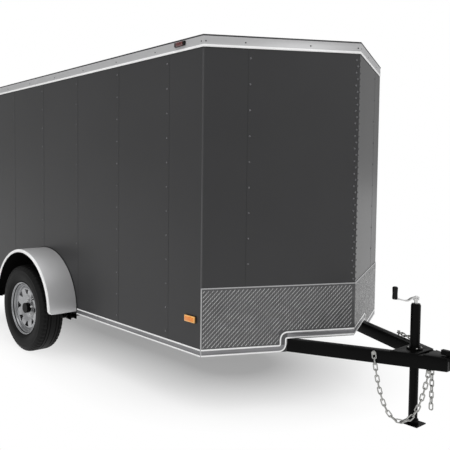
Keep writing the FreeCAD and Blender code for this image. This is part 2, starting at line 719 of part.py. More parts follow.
def make_wheels():
    bead = "(rim_width / 2 - bead_inset)"
    seat = "(rim_radius + running_gap)"
    section = [(f"-{bead}", seat), (f"-{bead}", TYRE_BEAD_TOP)]
    section += [(f"-(tyre_width / 2 - {inset})", radius) for inset, radius in TYRE_SHAPE]
    section += [(x[1:], radius) for x, radius in reversed(section)]
    pair("tyre", turned("tyre", section))

    lip = "(rim_width / 2)"
    lip_foot = f"({lip} - rim_lip_width)"
    slope_foot = f"({lip_foot} - rim_lip_slope)"
    inside = "(rim_radius - rim_thick)"
    ring = f"({inside} - disc_ring_width)"
    centre = "(hub_flange_radius + disc_centre_margin)"
    face = "(disc_offset + disc_thick)"
    cap = "(hub_radius + hub_cap_margin)"
    bore = f"({cap} + running_gap)"
    rim = [(f"-{lip}", inside), (f"-{lip}", "rim_lip_radius"), (f"-{lip_foot}", "rim_lip_radius"),
           (f"-{slope_foot}", "rim_radius"), (slope_foot, "rim_radius"),
           (lip_foot, "rim_lip_radius"), (lip, "rim_lip_radius"), (lip, inside),
           (f"{face} + disc_dish", inside), (f"{face} + disc_dish", ring), (face, centre),
           (face, bore), ("disc_offset", bore), ("disc_offset", centre),
           ("disc_offset + disc_dish", ring), ("disc_offset + disc_dish", inside)]
    body = turned("rim", rim)
    doc.recompute()
    window_low = "hub_flange_radius + window_inner_margin"
    window_high = f"{inside} - window_outer_margin"
    window = outline(body, "window", [("-window_inner_half", window_low),
                                      ("window_inner_half", window_low),
                                      ("window_outer_half", window_high),
                                      ("-window_outer_half", window_high)], role="YZ_Plane")
    pocket = body.newObject("PartDesign::Pocket", "window_cut")
    pocket.Profile = window
    pocket.Type = "ThroughAll"
    pocket.Midplane = True
    pattern = body.newObject("PartDesign::PolarPattern", "window_ring")
    pattern.Originals = [pocket]
    axis = next(part for part in body.Origin.OriginFeatures if part.Role == "X_Axis")
    pattern.Axis = (axis, [""])
    pattern.Angle = 360
    bind(pattern, "Occurrences", "window_count")
    body.Tip = pattern
    pair("rim", body)

    bore = "(spindle_radius + running_gap)"
    flange_back = "disc_offset - hub_flange_thick"
    bore_end = "disc_offset + spindle_reach + spindle_end_gap"
    hub = [("-hub_back", bore), ("-hub_back", "hub_radius"), (flange_back, "hub_radius"),
           (flange_back, "hub_flange_radius"), ("disc_offset", "hub_flange_radius"),
           ("disc_offset", cap), ("disc_offset + hub_cap_reach", cap),
           ("disc_offset + hub_cap_reach", "0"), (bore_end, "0"), (bore_end, bore)]
    pair("hub", turned("hub", hub))


def make_fenders():
    inner_face = f"-{HALF}"
    shell = cut("fender_shell",
                rod("fender_out", AXLE_X, inner_face, "fender_base", "fender_radius",
                    "fender_width", along="-Y", angle=180),
                rod("fender_in", AXLE_X, f"{inner_face} + cut_past", "fender_base",
                    "fender_radius - fender_thick", "fender_width + 2 * cut_past", along="-Y"))
    lip_y = f"-({HALF} + fender_width - fender_thick)"
    lip = cut("fender_lip_ring",
              rod("lip_out", AXLE_X, lip_y, "fender_base", "fender_radius", "fender_thick",
                  along="-Y", angle=180),
              rod("lip_in", AXLE_X, f"{lip_y} + cut_past", "fender_base",
                  "fender_radius - fender_lip", "fender_thick + 2 * cut_past", along="-Y"))
    pair("fender", fused("fender", shell, lip))


# ---------------------------------------------------------------- coupler and jack

def make_coupler():
    plate_half = "(ball_socket_radius + socket_wall)"
    corners = [(f"{FRONT} + coupler_back", rail_outer("coupler_back")),
               (f"{FRONT} + tongue_tip", f"-{plate_half}"), (BALL_X, f"-{plate_half}")]
    plate = prism("coupler_sheet", corners + left_of(corners), FRAME_TOP, "coupler_plate")
    socket_base = f"({BALL_Z} - socket_depth)"
    neck_half = f"({plate_half} - neck_inset)"
    neck = box("coupler_neck", f"{FRONT} + tongue_tip", f"-{neck_half}", socket_base,
               "ball_reach - tongue_tip", f"2 * {neck_half}", "socket_depth - ball_rise")
    cup = rod("cup_wall", BALL_X, 0, socket_base, plate_half, "socket_depth")
    dome = ball("cup_dome", BALL_X, 0, BALL_Z, plate_half)
    nose = box("cup_nose", BALL_X, "-nose_half", socket_base, "coupler_reach - ball_reach",
               "2 * nose_half", "socket_depth + nose_rise")
    boss = rod("latch_boss", BALL_X, 0, BALL_Z, "latch_half", f"{plate_half} + boss_rise")
    solid = fused("coupler_solid", plate, neck, cup, dome, nose, boss)
    hollow = fused("ball_room",
                   rod("ball_entry", BALL_X, 0, f"{BALL_Z} - {plate_half} - cut_past",
                       "ball_socket_radius", f"{plate_half} + cut_past"),
                   ball("ball_seat", BALL_X, 0, BALL_Z, "ball_socket_radius"))
    node(cut("coupler_body", solid, hollow), "coupler")

    deck = f"({FRAME_TOP} + coupler_plate)"
    top = f"({BALL_Z} + {plate_half})"
    wide = "(2 * latch_half)"
    web_x = f"{BALL_X} - {plate_half} - latch_rise - latch_half"
    handle = box("latch_handle", f"{BALL_X} - latch_length", "-latch_half", f"{deck} + latch_rise",
                 f"latch_length - {plate_half} - latch_rise", wide, wide)
    web = box("latch_web", web_x, "-latch_half", f"{deck} + latch_half", "latch_half", wide,
              f"{top} + latch_rise - {deck}")
    strap = box("latch_strap", web_x, "-latch_half", f"{top} + latch_rise",
                f"{plate_half} + latch_rise + {wide}", wide, "latch_strap_thick")
    stem = rod("latch_stem", BALL_X, 0, f"{top} + boss_rise", "latch_half - latch_stem_inset",
               "latch_rise")
    tail = box("latch_tail", f"{BALL_X} - latch_length + {wide}", "-latch_half / 2", deck,
               "latch_half", "latch_half", "latch_rise")
    node(fused("latch", handle, web, strap, stem, tail), "coupler_latch")


def make_jack():
    rear = "jack_reach - jack_plate_half"
    ahead = "jack_reach + jack_plate_half"
    corners = [(f"{FRONT} + {rear}", rail_outer(rear)), (f"{FRONT} + {ahead}", rail_outer(ahead))]
    plate = prism("jack_sheet", corners + left_of(corners), FRAME_TOP, "coupler_plate")
    hole = rod("jack_hole", JACK_X, 0, f"{FRAME_TOP} - cut_past", "jack_radius",
               "coupler_plate + 2 * cut_past")
    node(cut("jack_sheet_holed", plate, hole), "jack_plate")

    flange = rod("jack_flange", JACK_X, 0, f"{FRAME_TOP} + coupler_plate", "jack_flange_radius",
                 "jack_cap_height")
    tube = rod("jack_outer", JACK_X, 0, "jack_base", "jack_radius", "jack_top - jack_base")
    cap = rod("jack_cap", JACK_X, 0, "jack_top", "jack_radius - jack_cap_inset",
              "jack_cap_height")
    well = rod("jack_well", JACK_X, 0, "jack_base - cut_past", "jack_bore",
               "jack_top - jack_base - jack_top_wall")
    node(cut("jack_body", fused("jack_blank", flange, tube, cap), well), "jack_tube")

    leg = rod("leg_tube", JACK_X, 0, "foot_thick", "leg_radius", "leg_top - foot_thick")
    foot = box("foot", f"{JACK_X} - foot_width / 2", "-foot_width / 2", 0,
               "foot_width", "foot_width", "foot_thick")
    collar = rod("foot_collar", JACK_X, 0, "foot_thick", "leg_radius + foot_collar_wall",
                 "foot_collar_height")
    node(fused("jack_foot_leg", leg, foot, collar), "jack_leg")

    lift = "jack_top + crank_rise"
    shaft = rod("crank_shaft", JACK_X, 0, "jack_top + jack_cap_height", "crank_shaft_radius",
                "crank_rise + 3 * crank_thick - jack_cap_height")
    arm = box("crank_arm", 0, 0, 0, "crank_length + crank_width / 2 + crank_shaft_radius",
              "crank_width", "crank_thick")
    arm.Placement = Placement(Vector(), Rotation(Vector(0, 0, 1), size("crank_angle")))
    bind(arm, "Placement.Rotation.Angle", "crank_angle")
    back, side = "crank_shaft_radius", "crank_width / 2"
    place(arm, f"{JACK_X} - {back} * cos(crank_angle) + {side} * sin(crank_angle)",
          f"-{back} * sin(crank_angle) - {side} * cos(crank_angle)", lift)
    grip_x = f"{JACK_X} + crank_length * cos(crank_angle)"
    grip_y = "crank_length * sin(crank_angle)"
    grip = rod("crank_grip", grip_x, grip_y, f"{lift} + crank_thick", "grip_radius",
               "grip_length")
    node(fused("crank", shaft, arm, grip), "jack_crank")


# ---------------------------------------------------------------- lights and plate

def make_lights():
    lamp = box("side_lamp", f"{FRONT} - side_light_setback - side_light_length",
               f"-({HALF} + side_light_depth)", "side_light_base", "side_light_length",
               "side_light_depth", "side_light_height")
    node(together("side_lamps", lamp, mirrored("side_lamp_left", lamp)), "amber_side_lights")
    marker = box("marker_lamp", f"{FRONT} - marker_setback - marker_length",
                 f"-({HALF} + trim_thick + marker_depth)",
                 f"{ROOF_TOP} - roof_trim_height / 2 - marker_height / 2 + marker_rise",
                 "marker_length", "marker_depth", "marker_height")
    node(together("marker_lamps", marker, mirrored("marker_lamp_left", marker)),
         "red_marker_lights")
    tail = box("tail_lamp", f"{REAR} - tail_light_depth",
               f"-({HALF} - post_width / 2 + tail_light_width / 2)", "tail_light_base",
               "tail_light_depth", "tail_light_width", "tail_light_height")
    node(together("tail_lamps", tail, mirrored("tail_lamp_left", tail)), "tail_lights")
    plate_side = f"{HALF} - post_width - door_gap - plate_inset - plate_width"
    node(box("plate", f"{REAR} - plate_thick", plate_side, "plate_base", "plate_thick",
             "plate_width", "plate_height"), "number_plate")


# ---------------------------------------------------------------- safety chains

def link_shape(pitch):
    """One welded link about its own centre: long way along X, flat in the XY plane."""
    wire = size("chain_wire") / 2
    bend = size("link_width") / 2 - wire
    straight = pitch + size("chain_slack") + 2 * wire - 2 * bend
    spine = []
    for side in (1, -1):
        end = Vector(side * straight / 2, 0, 0)
        across = Vector(0, side * bend, 0)
        spine.append(Part.Arc(end + across, end + Vector(side * bend, 0, 0), end - across).toShape())
        spine.append(Part.LineSegment(end - across, -end - across).toShape())
    path = Part.Wire(spine)
    start = Vector(straight / 2, bend, 0)
    ring = Part.Wire(Part.Circle(start, Vector(1, 0, 0), wire).toShape())
    return path.makePipeShell([ring], True, True)


def hanging_curve(first, last, low):
    """The curve of a chain that hangs between two points and dips to a given height."""
    level = Vector(last.x - first.x, last.y - first.y, 0)
    span = level.Length

    def reaches(sag):
        """How far apart two ends of these heights hang on a catenary of this parameter."""
        return sum(sag * math.acosh(1 + (end.z - low) / sag) for end in (first, last))

    flat, deep = 1.0, 10000.0
    for _ in range(HALVINGS):
        sag = (flat + deep) / 2
        if reaches(sag) < span:
            flat = sag
        else:
            deep = sag
    bottom = sag * math.acosh(1 + (first.z - low) / sag)
    points = []
    for step in range(CURVE_STEPS + 1):
        along = span * step / CURVE_STEPS
        height = low + sag * (math.cosh((along - bottom) / sag) - 1)
        points.append(Vector(first.x, first.y, height) + level * (step / CURVE_STEPS))
    return points


def chain(points, flat_side):
    """Links whose joints are spaced along a path, each link turned a quarter from the last.

    The first and last lie flat against a side. Also gives where a bolt sits in those two."""
    path = Part.BSplineCurve()
    path.interpolate(points)
    length = path.length()
    count = 2 * round((length / size("chain_pitch") - 1) / 2) + 1
    joints = [path.value(path.parameterAtDistance(length * step / count, path.FirstParameter))
              for step in range(count)] + [points[-1]]
    links = []
    for step in range(count):
        along = joints[step + 1] - joints[step]
        across = flat_side.cross(along)
        across.normalize()
        link = link_shape(along.Length)
        turn = Rotation(along, across, along.cross(across), "XYZ")
        quarter = Rotation(Vector(1, 0, 0), 90 * (step % 2))
        link.Placement = Placement((joints[step] + joints[step + 1]) / 2, turn.multiply(quarter))
        links.append(link)
    print("chain of", count, "links,", round(length), "mm")
    inside = size("chain_bolt_radius") + size("running_gap") - size("chain_slack") / 2
    seats = []
    for end, following in ((joints[0], joints[1]), (joints[-1], joints[-2])):
        into = following - end
        into.normalize()
        seats.append(end + into * inside)
    return links, seats[0], seats[1]


def bolt(centre, direction, behind, ahead):
    """A bolt through a link: from a face behind the link to a head ahead of it."""
    shank = Part.makeCylinder(size("chain_bolt_radius"), behind + ahead,
                              centre - direction * behind, direction)
    head = Part.makeCylinder(size("chain_head_radius"), size("chain_head_thick"),
                             centre + direction * ahead, direction)
    return shank.fuse(head)


def tab(face, direction, top):
    """A plate that hangs under the tongue and carries a chain's bolt on its face."""
    width, thick, height = (size("link_width"), size("chain_tab_thick"),
                            size("chain_tab_height"))
    plate = Part.makeBox(thick, width, height, Vector(-thick, -width / 2, -height))
    plate.Placement = Placement(Vector(face.x, face.y, top), Rotation(Vector(1, 0, 0), direction))
    return plate


def chain_node(name, solids, node_name):
    made = doc.addObject("Part::Feature", name)
    made.Shape = Part.makeCompound(solids)
    node(made, node_name)


def make_chains():
    front = (size("box_length") + size("lock_rod_stand") + size("lock_rod_radius")
             - size("coupler_reach")) / 2
    slope = math.radians(size("tongue_angle"))
    base = size("frame_base")
    top = base + size("rail_height")
    wire = size("chain_wire") / 2
    gap = size("running_gap")
    half_width = size("link_width") / 2
    hanging = base - size("chain_tab_height") / 2
    outward = Vector(math.sin(slope), -math.cos(slope), 0)
    forward = Vector(math.cos(slope), math.sin(slope), 0)
    left_side = Vector(0, 1, 0)
    up = Vector(0, 0, 1)

    def on_rail(reach, height):
        return Vector(front + reach, -(size("tongue_apex") - reach) * math.tan(slope), height)

    off_rail = half_width + size("chain_rail_gap")
    off_tab = wire + gap
    first = on_rail(size("chain_reach"), top - size("chain_head_radius")) + outward * off_rail
    tail = Vector(front + size("chain_tail_reach"), -size("chain_tail_side"), hanging)
    right, seat, tail_seat = chain(hanging_curve(first, tail, size("chain_low")), outward)
    right.append(bolt(seat, outward, off_rail - gap, 2 * wire))
    right.append(bolt(tail_seat, outward, off_tab, 2 * wire))
    right.append(tab(tail_seat - outward * off_tab, outward, base))
    chain_node("chain_right", right, "safety_chain_right")

    hook = Vector(tail.x - size("chain_hang_back"), size("chain_hang_side"), hanging)
    drop = up * size("chain_hang_length")
    bow = left_side * size("chain_hang_bow")
    left, seat, _ = chain([hook, hook - drop / 2 + bow, hook - drop], left_side)
    left.append(bolt(seat, left_side, off_tab, 2 * wire))
    left.append(tab(seat - left_side * off_tab, left_side, base))
    start = on_rail(size("chain_rest_reach"), top + half_width + gap)
    start.y = -start.y
    down_rail = Vector(forward.x, -forward.y, 0) * size("chain_rest_length")
    resting, seat, _ = chain([start, start + down_rail / 2, start + down_rail], up)
    left += resting
    left.append(bolt(seat, up, half_width + gap, 2 * wire))
    chain_node("chain_left", left, "safety_chain_left")


make_frame()
make_box_body()
make_trims()
make_rear()
make_door_locks()
make_axle()
make_springs()
make_wheels()
make_fenders()
make_coupler()
make_jack()
make_lights()
make_chains()
doc.recompute()

for thing in doc.Objects:
    for word in ("Invalid", "Error"):
        if word in thing.State:
            raise RuntimeError(f"{thing.Name} is {thing.State}")
for label, thing in NODES.items():
    if thing.Shape.isNull() or not thing.Shape.isValid() or not thing.Shape.Solids:
        raise RuntimeError(f"{label} has no valid solid")

os.makedirs("parts", exist_ok=True)
for label, thing in NODES.items():
    thing.Shape.exportStep(os.path.join("parts", label + ".step"))
print(len(NODES), "sub-parts written")
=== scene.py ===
# %% [markdown]
# # Enclosed cargo trailer
# The construction comes packed from CAD as a fixed frame: every node is at its real size and
# place. This lesson gives it its looks, one piece or finish at a time.

# %% Load the frame
import json
import math

import bmesh
import bpy
from mathutils import Euler, Matrix, Vector

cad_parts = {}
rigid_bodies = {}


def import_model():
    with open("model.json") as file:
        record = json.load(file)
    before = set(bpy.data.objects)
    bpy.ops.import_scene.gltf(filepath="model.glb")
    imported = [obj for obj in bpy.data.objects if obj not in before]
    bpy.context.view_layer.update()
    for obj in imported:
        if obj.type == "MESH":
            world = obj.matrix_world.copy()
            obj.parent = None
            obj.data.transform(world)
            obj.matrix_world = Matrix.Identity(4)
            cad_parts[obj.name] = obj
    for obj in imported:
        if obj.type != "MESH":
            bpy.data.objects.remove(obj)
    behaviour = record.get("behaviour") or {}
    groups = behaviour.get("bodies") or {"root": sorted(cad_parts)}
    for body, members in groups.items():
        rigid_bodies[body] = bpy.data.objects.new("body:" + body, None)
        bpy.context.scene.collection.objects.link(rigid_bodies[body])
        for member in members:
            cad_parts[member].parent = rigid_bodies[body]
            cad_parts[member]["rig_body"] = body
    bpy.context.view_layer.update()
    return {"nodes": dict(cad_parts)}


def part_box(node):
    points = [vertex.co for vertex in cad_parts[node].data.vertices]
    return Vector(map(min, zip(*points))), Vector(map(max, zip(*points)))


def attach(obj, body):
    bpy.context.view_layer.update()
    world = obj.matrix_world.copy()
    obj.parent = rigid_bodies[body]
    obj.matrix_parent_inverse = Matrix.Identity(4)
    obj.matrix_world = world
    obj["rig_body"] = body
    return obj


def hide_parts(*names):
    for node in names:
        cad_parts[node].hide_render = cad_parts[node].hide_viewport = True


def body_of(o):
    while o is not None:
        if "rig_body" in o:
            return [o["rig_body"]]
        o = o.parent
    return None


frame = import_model()
NODES = frame["nodes"]
MM = 0.001
print("nodes:", len(NODES))

# %% [markdown]
# Every place is worked out from the CAD nodes' own boxes, so that a change of size in CAD is
# followed here. The front corners are where the side skins meet the nose.

# %% Measure the body
wall_low, wall_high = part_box("side_wall_right")
HALF = -wall_low.y
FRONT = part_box("side_wall_right")[1].x
REAR = wall_low.x
BASE = wall_low.z
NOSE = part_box("nose_wall_right")[1].x - FRONT
ROOF_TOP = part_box("roof")[1].z
RAIL_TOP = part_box("main_rail_right")[1].z
TRIM_LOW, TRIM_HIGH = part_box("roof_trim")
GUARD_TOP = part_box("stone_guard_right")[1].z
LOWER_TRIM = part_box("lower_trim_right")[1].z - BASE
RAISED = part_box("nose_trim")[1].z - LOWER_TRIM
PANEL = math.hypot(NOSE, HALF)
ALONG = Vector((NOSE, HALF, 0)) / PANEL
OUTWARD = Vector((HALF, -NOSE, 0)) / PANEL
print("body", round(FRONT - REAR, 3), "long,", round(2 * HALF, 3), "wide")


# %% [markdown]
# Colours are written as sRGB hex values, as a paint maker gives them, and one function turns
# them linear. Another adds a shader node with its settings and links, so that each material
# reads as a short list of nodes.

# %% Colour and node helpers
def linear(code):
    values = [int(code[i:i + 2], 16) / 255 for i in (1, 3, 5)]
    return tuple(v / 12.92 if v <= 0.04045 else ((v + 0.055) / 1.055) ** 2.4
                 for v in values) + (1.0,)


def add(tree, kind, links=None, **settings):
    """Adds a node; each link is a value for an input, or the output that feeds it."""
    made = tree.nodes.new(kind)
    for name, value in settings.items():
        setattr(made, name, value)
    for name, value in (links or {}).items():
        if isinstance(value, bpy.types.NodeSocket):
            tree.links.new(value, made.inputs[name])
        else:
            made.inputs[name].default_value = value
    return made


def new_material(name):
    """A material with its own object coordinates and an empty principled shader."""
    material = bpy.data.materials.new(name)
    material.use_nodes = True
    tree = material.node_tree
    tree.nodes.clear()
    place = add(tree, "ShaderNodeTexCoord").outputs["Object"]
    shader = add(tree, "ShaderNodeBsdfPrincipled")
    add(tree, "ShaderNodeOutputMaterial", {"Surface": shader.outputs["BSDF"]})
    return material, tree, place, shader


def mottled(name, dark, light, patch_mm, rough, grain_mm=None, grain_height=0.0, stretch=(1, 1, 1),
            **fixed):
    """A finish whose colour drifts between two near shades, with uneven gloss and a fine grain."""
    material, tree, place, shader = new_material(name)
    stretched = add(tree, "ShaderNodeMapping", {"Vector": place, "Scale": stretch})
    patches = add(tree, "ShaderNodeTexNoise", {"Vector": stretched.outputs["Vector"],
                                               "Scale": 1000 / patch_mm, "Detail": 3.0})
    ramp = add(tree, "ShaderNodeValToRGB", {"Fac": patches.outputs["Fac"]})
    ramp.color_ramp.elements[0].color = linear(dark)
    ramp.color_ramp.elements[0].position = 0.3
    ramp.color_ramp.elements[1].color = linear(light)
    ramp.color_ramp.elements[1].position = 0.7
    tree.links.new(ramp.outputs["Color"], shader.inputs["Base Color"])
    gloss = add(tree, "ShaderNodeMapRange", {"Value": patches.outputs["Fac"], "To Min": rough[0],
                                             "To Max": rough[1]})
    tree.links.new(gloss.outputs["Result"], shader.inputs["Roughness"])
    if grain_mm:
        grain = add(tree, "ShaderNodeTexNoise", {"Vector": stretched.outputs["Vector"],
                                                 "Scale": 1000 / grain_mm, "Detail": 2.0})
        bump = add(tree, "ShaderNodeBump", {"Height": grain.outputs["Fac"], "Strength": 0.3,
                                            "Distance": grain_height * MM})
        tree.links.new(bump.outputs["Normal"], shader.inputs["Normal"])
    for socket, value in fixed.items():
        shader.inputs[socket.replace("_", " ")].default_value = value
    return material


# %% [markdown]
# The finishes. Trailer skins are coil-coated aluminium: a smooth gloss paint with a very faint
# orange peel. Trims and fenders are mill aluminium, satin because rolling leaves fine lines.
# Chassis parts are black enamel, brushed or sprayed thick. Small hardware is zinc plated.

# %% Finishes
charcoal = mottled("coil_coated_charcoal_paint", "#333334", "#373738", 900, (0.34, 0.4),
                   grain_mm=6, grain_height=0.05, Specular_IOR_Level=0.3)
# Rivet heads a little lighter than the skin: a painted highlight, so that each head shows as a light
# dot.
rivet_highlight_paint = mottled("rivet_head_painted_highlight", "#555557", "#616163", 900, (0.2, 0.26))
# Near black for thin strips of painted shadow: under the roof trim's lip and at the lap seams.
seam_painted_shadow = mottled("painted_seam_shadow_black", "#141415", "#1B1B1C", 60, (0.5, 0.6))
white_trim = mottled("anodised_trim_aluminium", "#B4B4B5", "#BDBDBE", 500, (0.32, 0.42),
                     grain_mm=3, grain_height=0.03, stretch=(0.1, 0.1, 1), Metallic=0.3)
# Near white for the trim lips: a painted highlight where the rolled lips would catch the light.
lip_highlight = mottled("trim_lip_painted_highlight", "#F4F4F4", "#FCFCFC", 300, (0.2, 0.28))
# Dark grey for a thin band along the top of the roof trim and for the trim screws.
trim_dark = mottled("dark_trim_band_and_screws", "#2C2C2E", "#353537", 300, (0.4, 0.5), Metallic=0.3)
trim_mid = mottled("mill_aluminium_channel", "#7C7C7E", "#8C8C8E", 300, (0.35, 0.45),
                   grain_mm=3, grain_height=0.04, Metallic=0.5)
fender_metal = mottled("satin_fender_aluminium", "#CACACB", "#D6D6D7", 350, (0.3, 0.4),
                       grain_mm=2, grain_height=0.03, stretch=(0.2, 1, 1), Metallic=0.45)
roof_metal = mottled("mill_roof_aluminium", "#A3A4A6", "#B2B3B5", 700, (0.5, 0.6),
                     grain_mm=4, grain_height=0.05, Metallic=0.15, Specular_IOR_Level=0.3)
# A shade lighter than the skin for the corner bend strip: a painted highlight along the bend.
corner_highlight_paint = mottled("corner_bend_painted_highlight", "#3D3D3E", "#434344", 900, (0.2, 0.28))
tread_base = mottled("tread_plate_ground", "#505051", "#5C5C5D", 80, (0.35, 0.45), grain_mm=3,
                     grain_height=0.05, Metallic=0.5)
# Near white for the tread bars that lean one way: a painted highlight on the same metal as the dull
# bars.
bar_painted_highlight = mottled("tread_bar_painted_highlight", "#B2B2B2", "#C4C4C4", 50, (0.22, 0.32), Metallic=0.2)
bar_dull = mottled("tread_bar_dull", "#606061", "#6A6A6B", 50, (0.35, 0.45), Metallic=0.5)
black_paint = mottled("black_chassis_enamel", "#030303", "#060606", 120, (0.3, 0.42),
                      grain_mm=5, grain_height=0.12, Specular_IOR_Level=0.08)
# Near black for painted shade: under the fenders and on the wall inside the wheel arches.
arch_shade_black = mottled("painted_shade_black", "#050505", "#0A0A0A", 60, (0.7, 0.85), grain_mm=4,
                    grain_height=0.4, Specular_IOR_Level=0.1)
zinc = mottled("zinc_plated_steel", "#9B9B98", "#B9B9B6", 25, (0.28, 0.4), grain_mm=2,
               grain_height=0.05, Metallic=0.9)
bright_steel = mottled("bright_zinc_arm", "#C9C9C8", "#DCDCDB", 60, (0.25, 0.35), Metallic=0.7)
tyre_rubber = mottled("tyre_sidewall_rubber", "#060606", "#0C0C0C", 90, (0.5, 0.65), grain_mm=1.5,
                      grain_height=0.1, Specular_IOR_Level=0.18)
wheel_silver = mottled("silver_wheel_enamel", "#97989A", "#AAABAD", 120, (0.25, 0.35),
                       Metallic=0.6, Coat_Weight=0.4)
grip_rubber = mottled("black_grip_plastic", "#060606", "#0C0C0C", 15, (0.4, 0.5), grain_mm=1,
                      grain_height=0.1, Specular_IOR_Level=0.2)
plywood = mottled("exterior_plywood", "#8C7149", "#A88B60", 120, (0.6, 0.75), grain_mm=4,
                  grain_height=0.2, stretch=(0.1, 1, 1))

plywood_tree = plywood.node_tree
ply_shader = next(n for n in plywood_tree.nodes if n.bl_idname == "ShaderNodeBsdfPrincipled")
ply_colour = ply_shader.inputs["Base Color"].links[0].from_socket
# Faces pointing down are made black: painted shade under the trailer, which also keeps the brown
# plywood from tinting the floor's shadow.
face = add(plywood_tree, "ShaderNodeNewGeometry")
height = add(plywood_tree, "ShaderNodeSeparateXYZ", {"Vector": face.outputs["Normal"]})
below = add(plywood_tree, "ShaderNodeMath", {0: height.outputs["Z"], 1: -0.5},
            operation="LESS_THAN")
underside_painted_shade = add(plywood_tree, "ShaderNodeMix", data_type="RGBA")
plywood_tree.links.new(below.outputs[0], underside_painted_shade.inputs[0])
plywood_tree.links.new(ply_colour, underside_painted_shade.inputs[6])
underside_painted_shade.inputs[7].default_value = linear("#0A0A0A")
plywood_tree.links.new(underside_painted_shade.outputs[2], ply_shader.inputs["Base Color"])
amber_rim = mottled("amber_lens_border", "#F8B766", "#FCC77E", 30, (0.15, 0.22))
amber = mottled("amber_acrylic_lens", "#E98018", "#F59425", 30, (0.15, 0.22), Coat_Weight=0.6)
red = mottled("dark_red_acrylic_lens", "#4A0E0C", "#5E1411", 20, (0.12, 0.2), Coat_Weight=0.8)
lining_ply = mottled("varnished_wall_plywood", "#A98A62", "#C2A57C", 160, (0.45, 0.6), grain_mm=5,
                     grain_height=0.15, stretch=(1, 1, 0.12))
brake_red = mottled("red_acrylic_lens", "#860F0C", "#9E1714", 20, (0.12, 0.2), Coat_Weight=0.8)
clear_lens = mottled("clear_acrylic_lens", "#B9BCBF", "#CBCED1", 15, (0.1, 0.16), Coat_Weight=0.8)
plate_white = mottled("blank_plate_enamel", "#C6C6C4", "#D3D3D1", 90, (0.3, 0.4))

# %% [markdown]
# Most chassis pieces keep their CAD shape. A real tube or plate has a small radius along each
# edge that catches the light, so such a node is copied, its triangles merged back into flat
# faces, its edges bevelled, and the copy shown in the node's place.


# %% Mesh helpers
def shaded(mesh, angle=32):
    mesh.polygons.foreach_set("use_smooth", [True] * len(mesh.polygons))
    mesh.set_sharp_from_angle(angle=math.radians(angle))
    return mesh


def show(name, mesh, body, slot, *materials):
    """Puts a finished mesh on its body, with its materials; the slot argument is not used."""
    mesh.name = name
    if mesh.materials:
        mesh.materials.clear()
    for material in materials:
        mesh.materials.append(material)
    made = bpy.data.objects.new(name, mesh)
    bpy.context.scene.collection.objects.link(made)
    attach(made, body)
    return made


def baked(thing):
    """The thing's mesh with its modifiers applied; the thing itself is removed."""
    depsgraph = bpy.context.evaluated_depsgraph_get()
    mesh = bpy.data.meshes.new_from_object(thing.evaluated_get(depsgraph), depsgraph=depsgraph)
    bpy.data.objects.remove(thing)
    return mesh


def block(low, high, radius_mm, segments=2):
    """A box between two corners with rounded edges."""
    shape = bmesh.new()
    bmesh.ops.create_cube(shape, size=1.0)
    low, high = Vector(low), Vector(high)
    for vert in shape.verts:
        vert.co = Vector(low[i] + (high[i] - low[i]) * (vert.co[i] + 0.5) for i in range(3))
    bmesh.ops.bevel(shape, geom=shape.edges[:], offset=radius_mm * MM, segments=segments,
                    affect="EDGES", profile=0.5)
    bmesh.ops.recalc_face_normals(shape, faces=shape.faces)
    mesh = bpy.data.meshes.new("block")
    shape.to_mesh(mesh)
    shape.free()
    return mesh


def joined(*parts):
    """One mesh out of several; each part is a mesh and the index of its material."""
    shape = bmesh.new()
    for mesh, finish in parts:
        first = len(shape.faces)
        shape.from_mesh(mesh)
        shape.faces.ensure_lookup_table()
        for face in shape.faces[first:]:
            face.material_index = finish
    mesh = bpy.data.meshes.new("joined")
    shape.to_mesh(mesh)
    shape.free()
    return shaded(mesh)


def softened(node, radius_mm, material, slot, segments=2):
    """A CAD node shown with rounded edges."""
    mesh = NODES[node].data.copy()
    shape = bmesh.new()
    shape.from_mesh(mesh)
    bmesh.ops.remove_doubles(shape, verts=shape.verts, dist=0.02 * MM)
    bmesh.ops.dissolve_limit(shape, angle_limit=math.radians(1.5), verts=shape.verts,
                             edges=shape.edges)
    shape.to_mesh(mesh)
    shape.free()
    thing = bpy.data.objects.new("soft", mesh)
    bpy.context.scene.collection.objects.link(thing)
    bevel = thing.modifiers.new("edges", "BEVEL")
    bevel.width = radius_mm * MM
    bevel.segments = segments
    bevel.limit_method = "ANGLE"
    bevel.angle_limit = math.radians(38)
    made = show(node + "_finished", shaded(baked(thing)), body_of(NODES[node])[0], slot,
                material)
    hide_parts(node)
    return made


def repaint(material, *nodes):
    for node in nodes:
        for slot in NODES[node].material_slots:
            slot.material = material


# %% [markdown]
# A trim is a rolled strip that keeps one cross-section all along its run. The section is swept
# through frames, one at each bend, and each frame lies on the mitre between its two runs.


# %% Sweep a section along a run
def mitres(points):
    """Left-hand directions of a flat run, one per point, stretched to meet at each mitre."""
    runs = [(b - a).normalized() for a, b in zip(points, points[1:])]
    sides = []
    for before, after in zip([runs[0]] + runs, runs + [runs[-1]]):
        lefts = [Vector((-run.y, run.x)) for run in (before, after)]
        middle = (lefts[0] + lefts[1]).normalized()
        sides.append(middle / middle.dot(lefts[0]))
    return sides


def rounded(points, radius, steps=6):
    """The same run with each inner corner replaced by a round one."""
    smooth = [points[0]]
    for before, corner, after in zip(points, points[1:], points[2:]):
        into = (corner - before).normalized()
        out = (after - corner).normalized()
        turn = into.angle(out)
        cut = radius * math.tan(turn / 2)
        for step in range(steps + 1):
            share = step / steps
            a = corner - into * cut * (1 - share)
            b = corner + out * cut * share
            smooth.append(a.lerp(b, share))
    return smooth + [points[-1]]


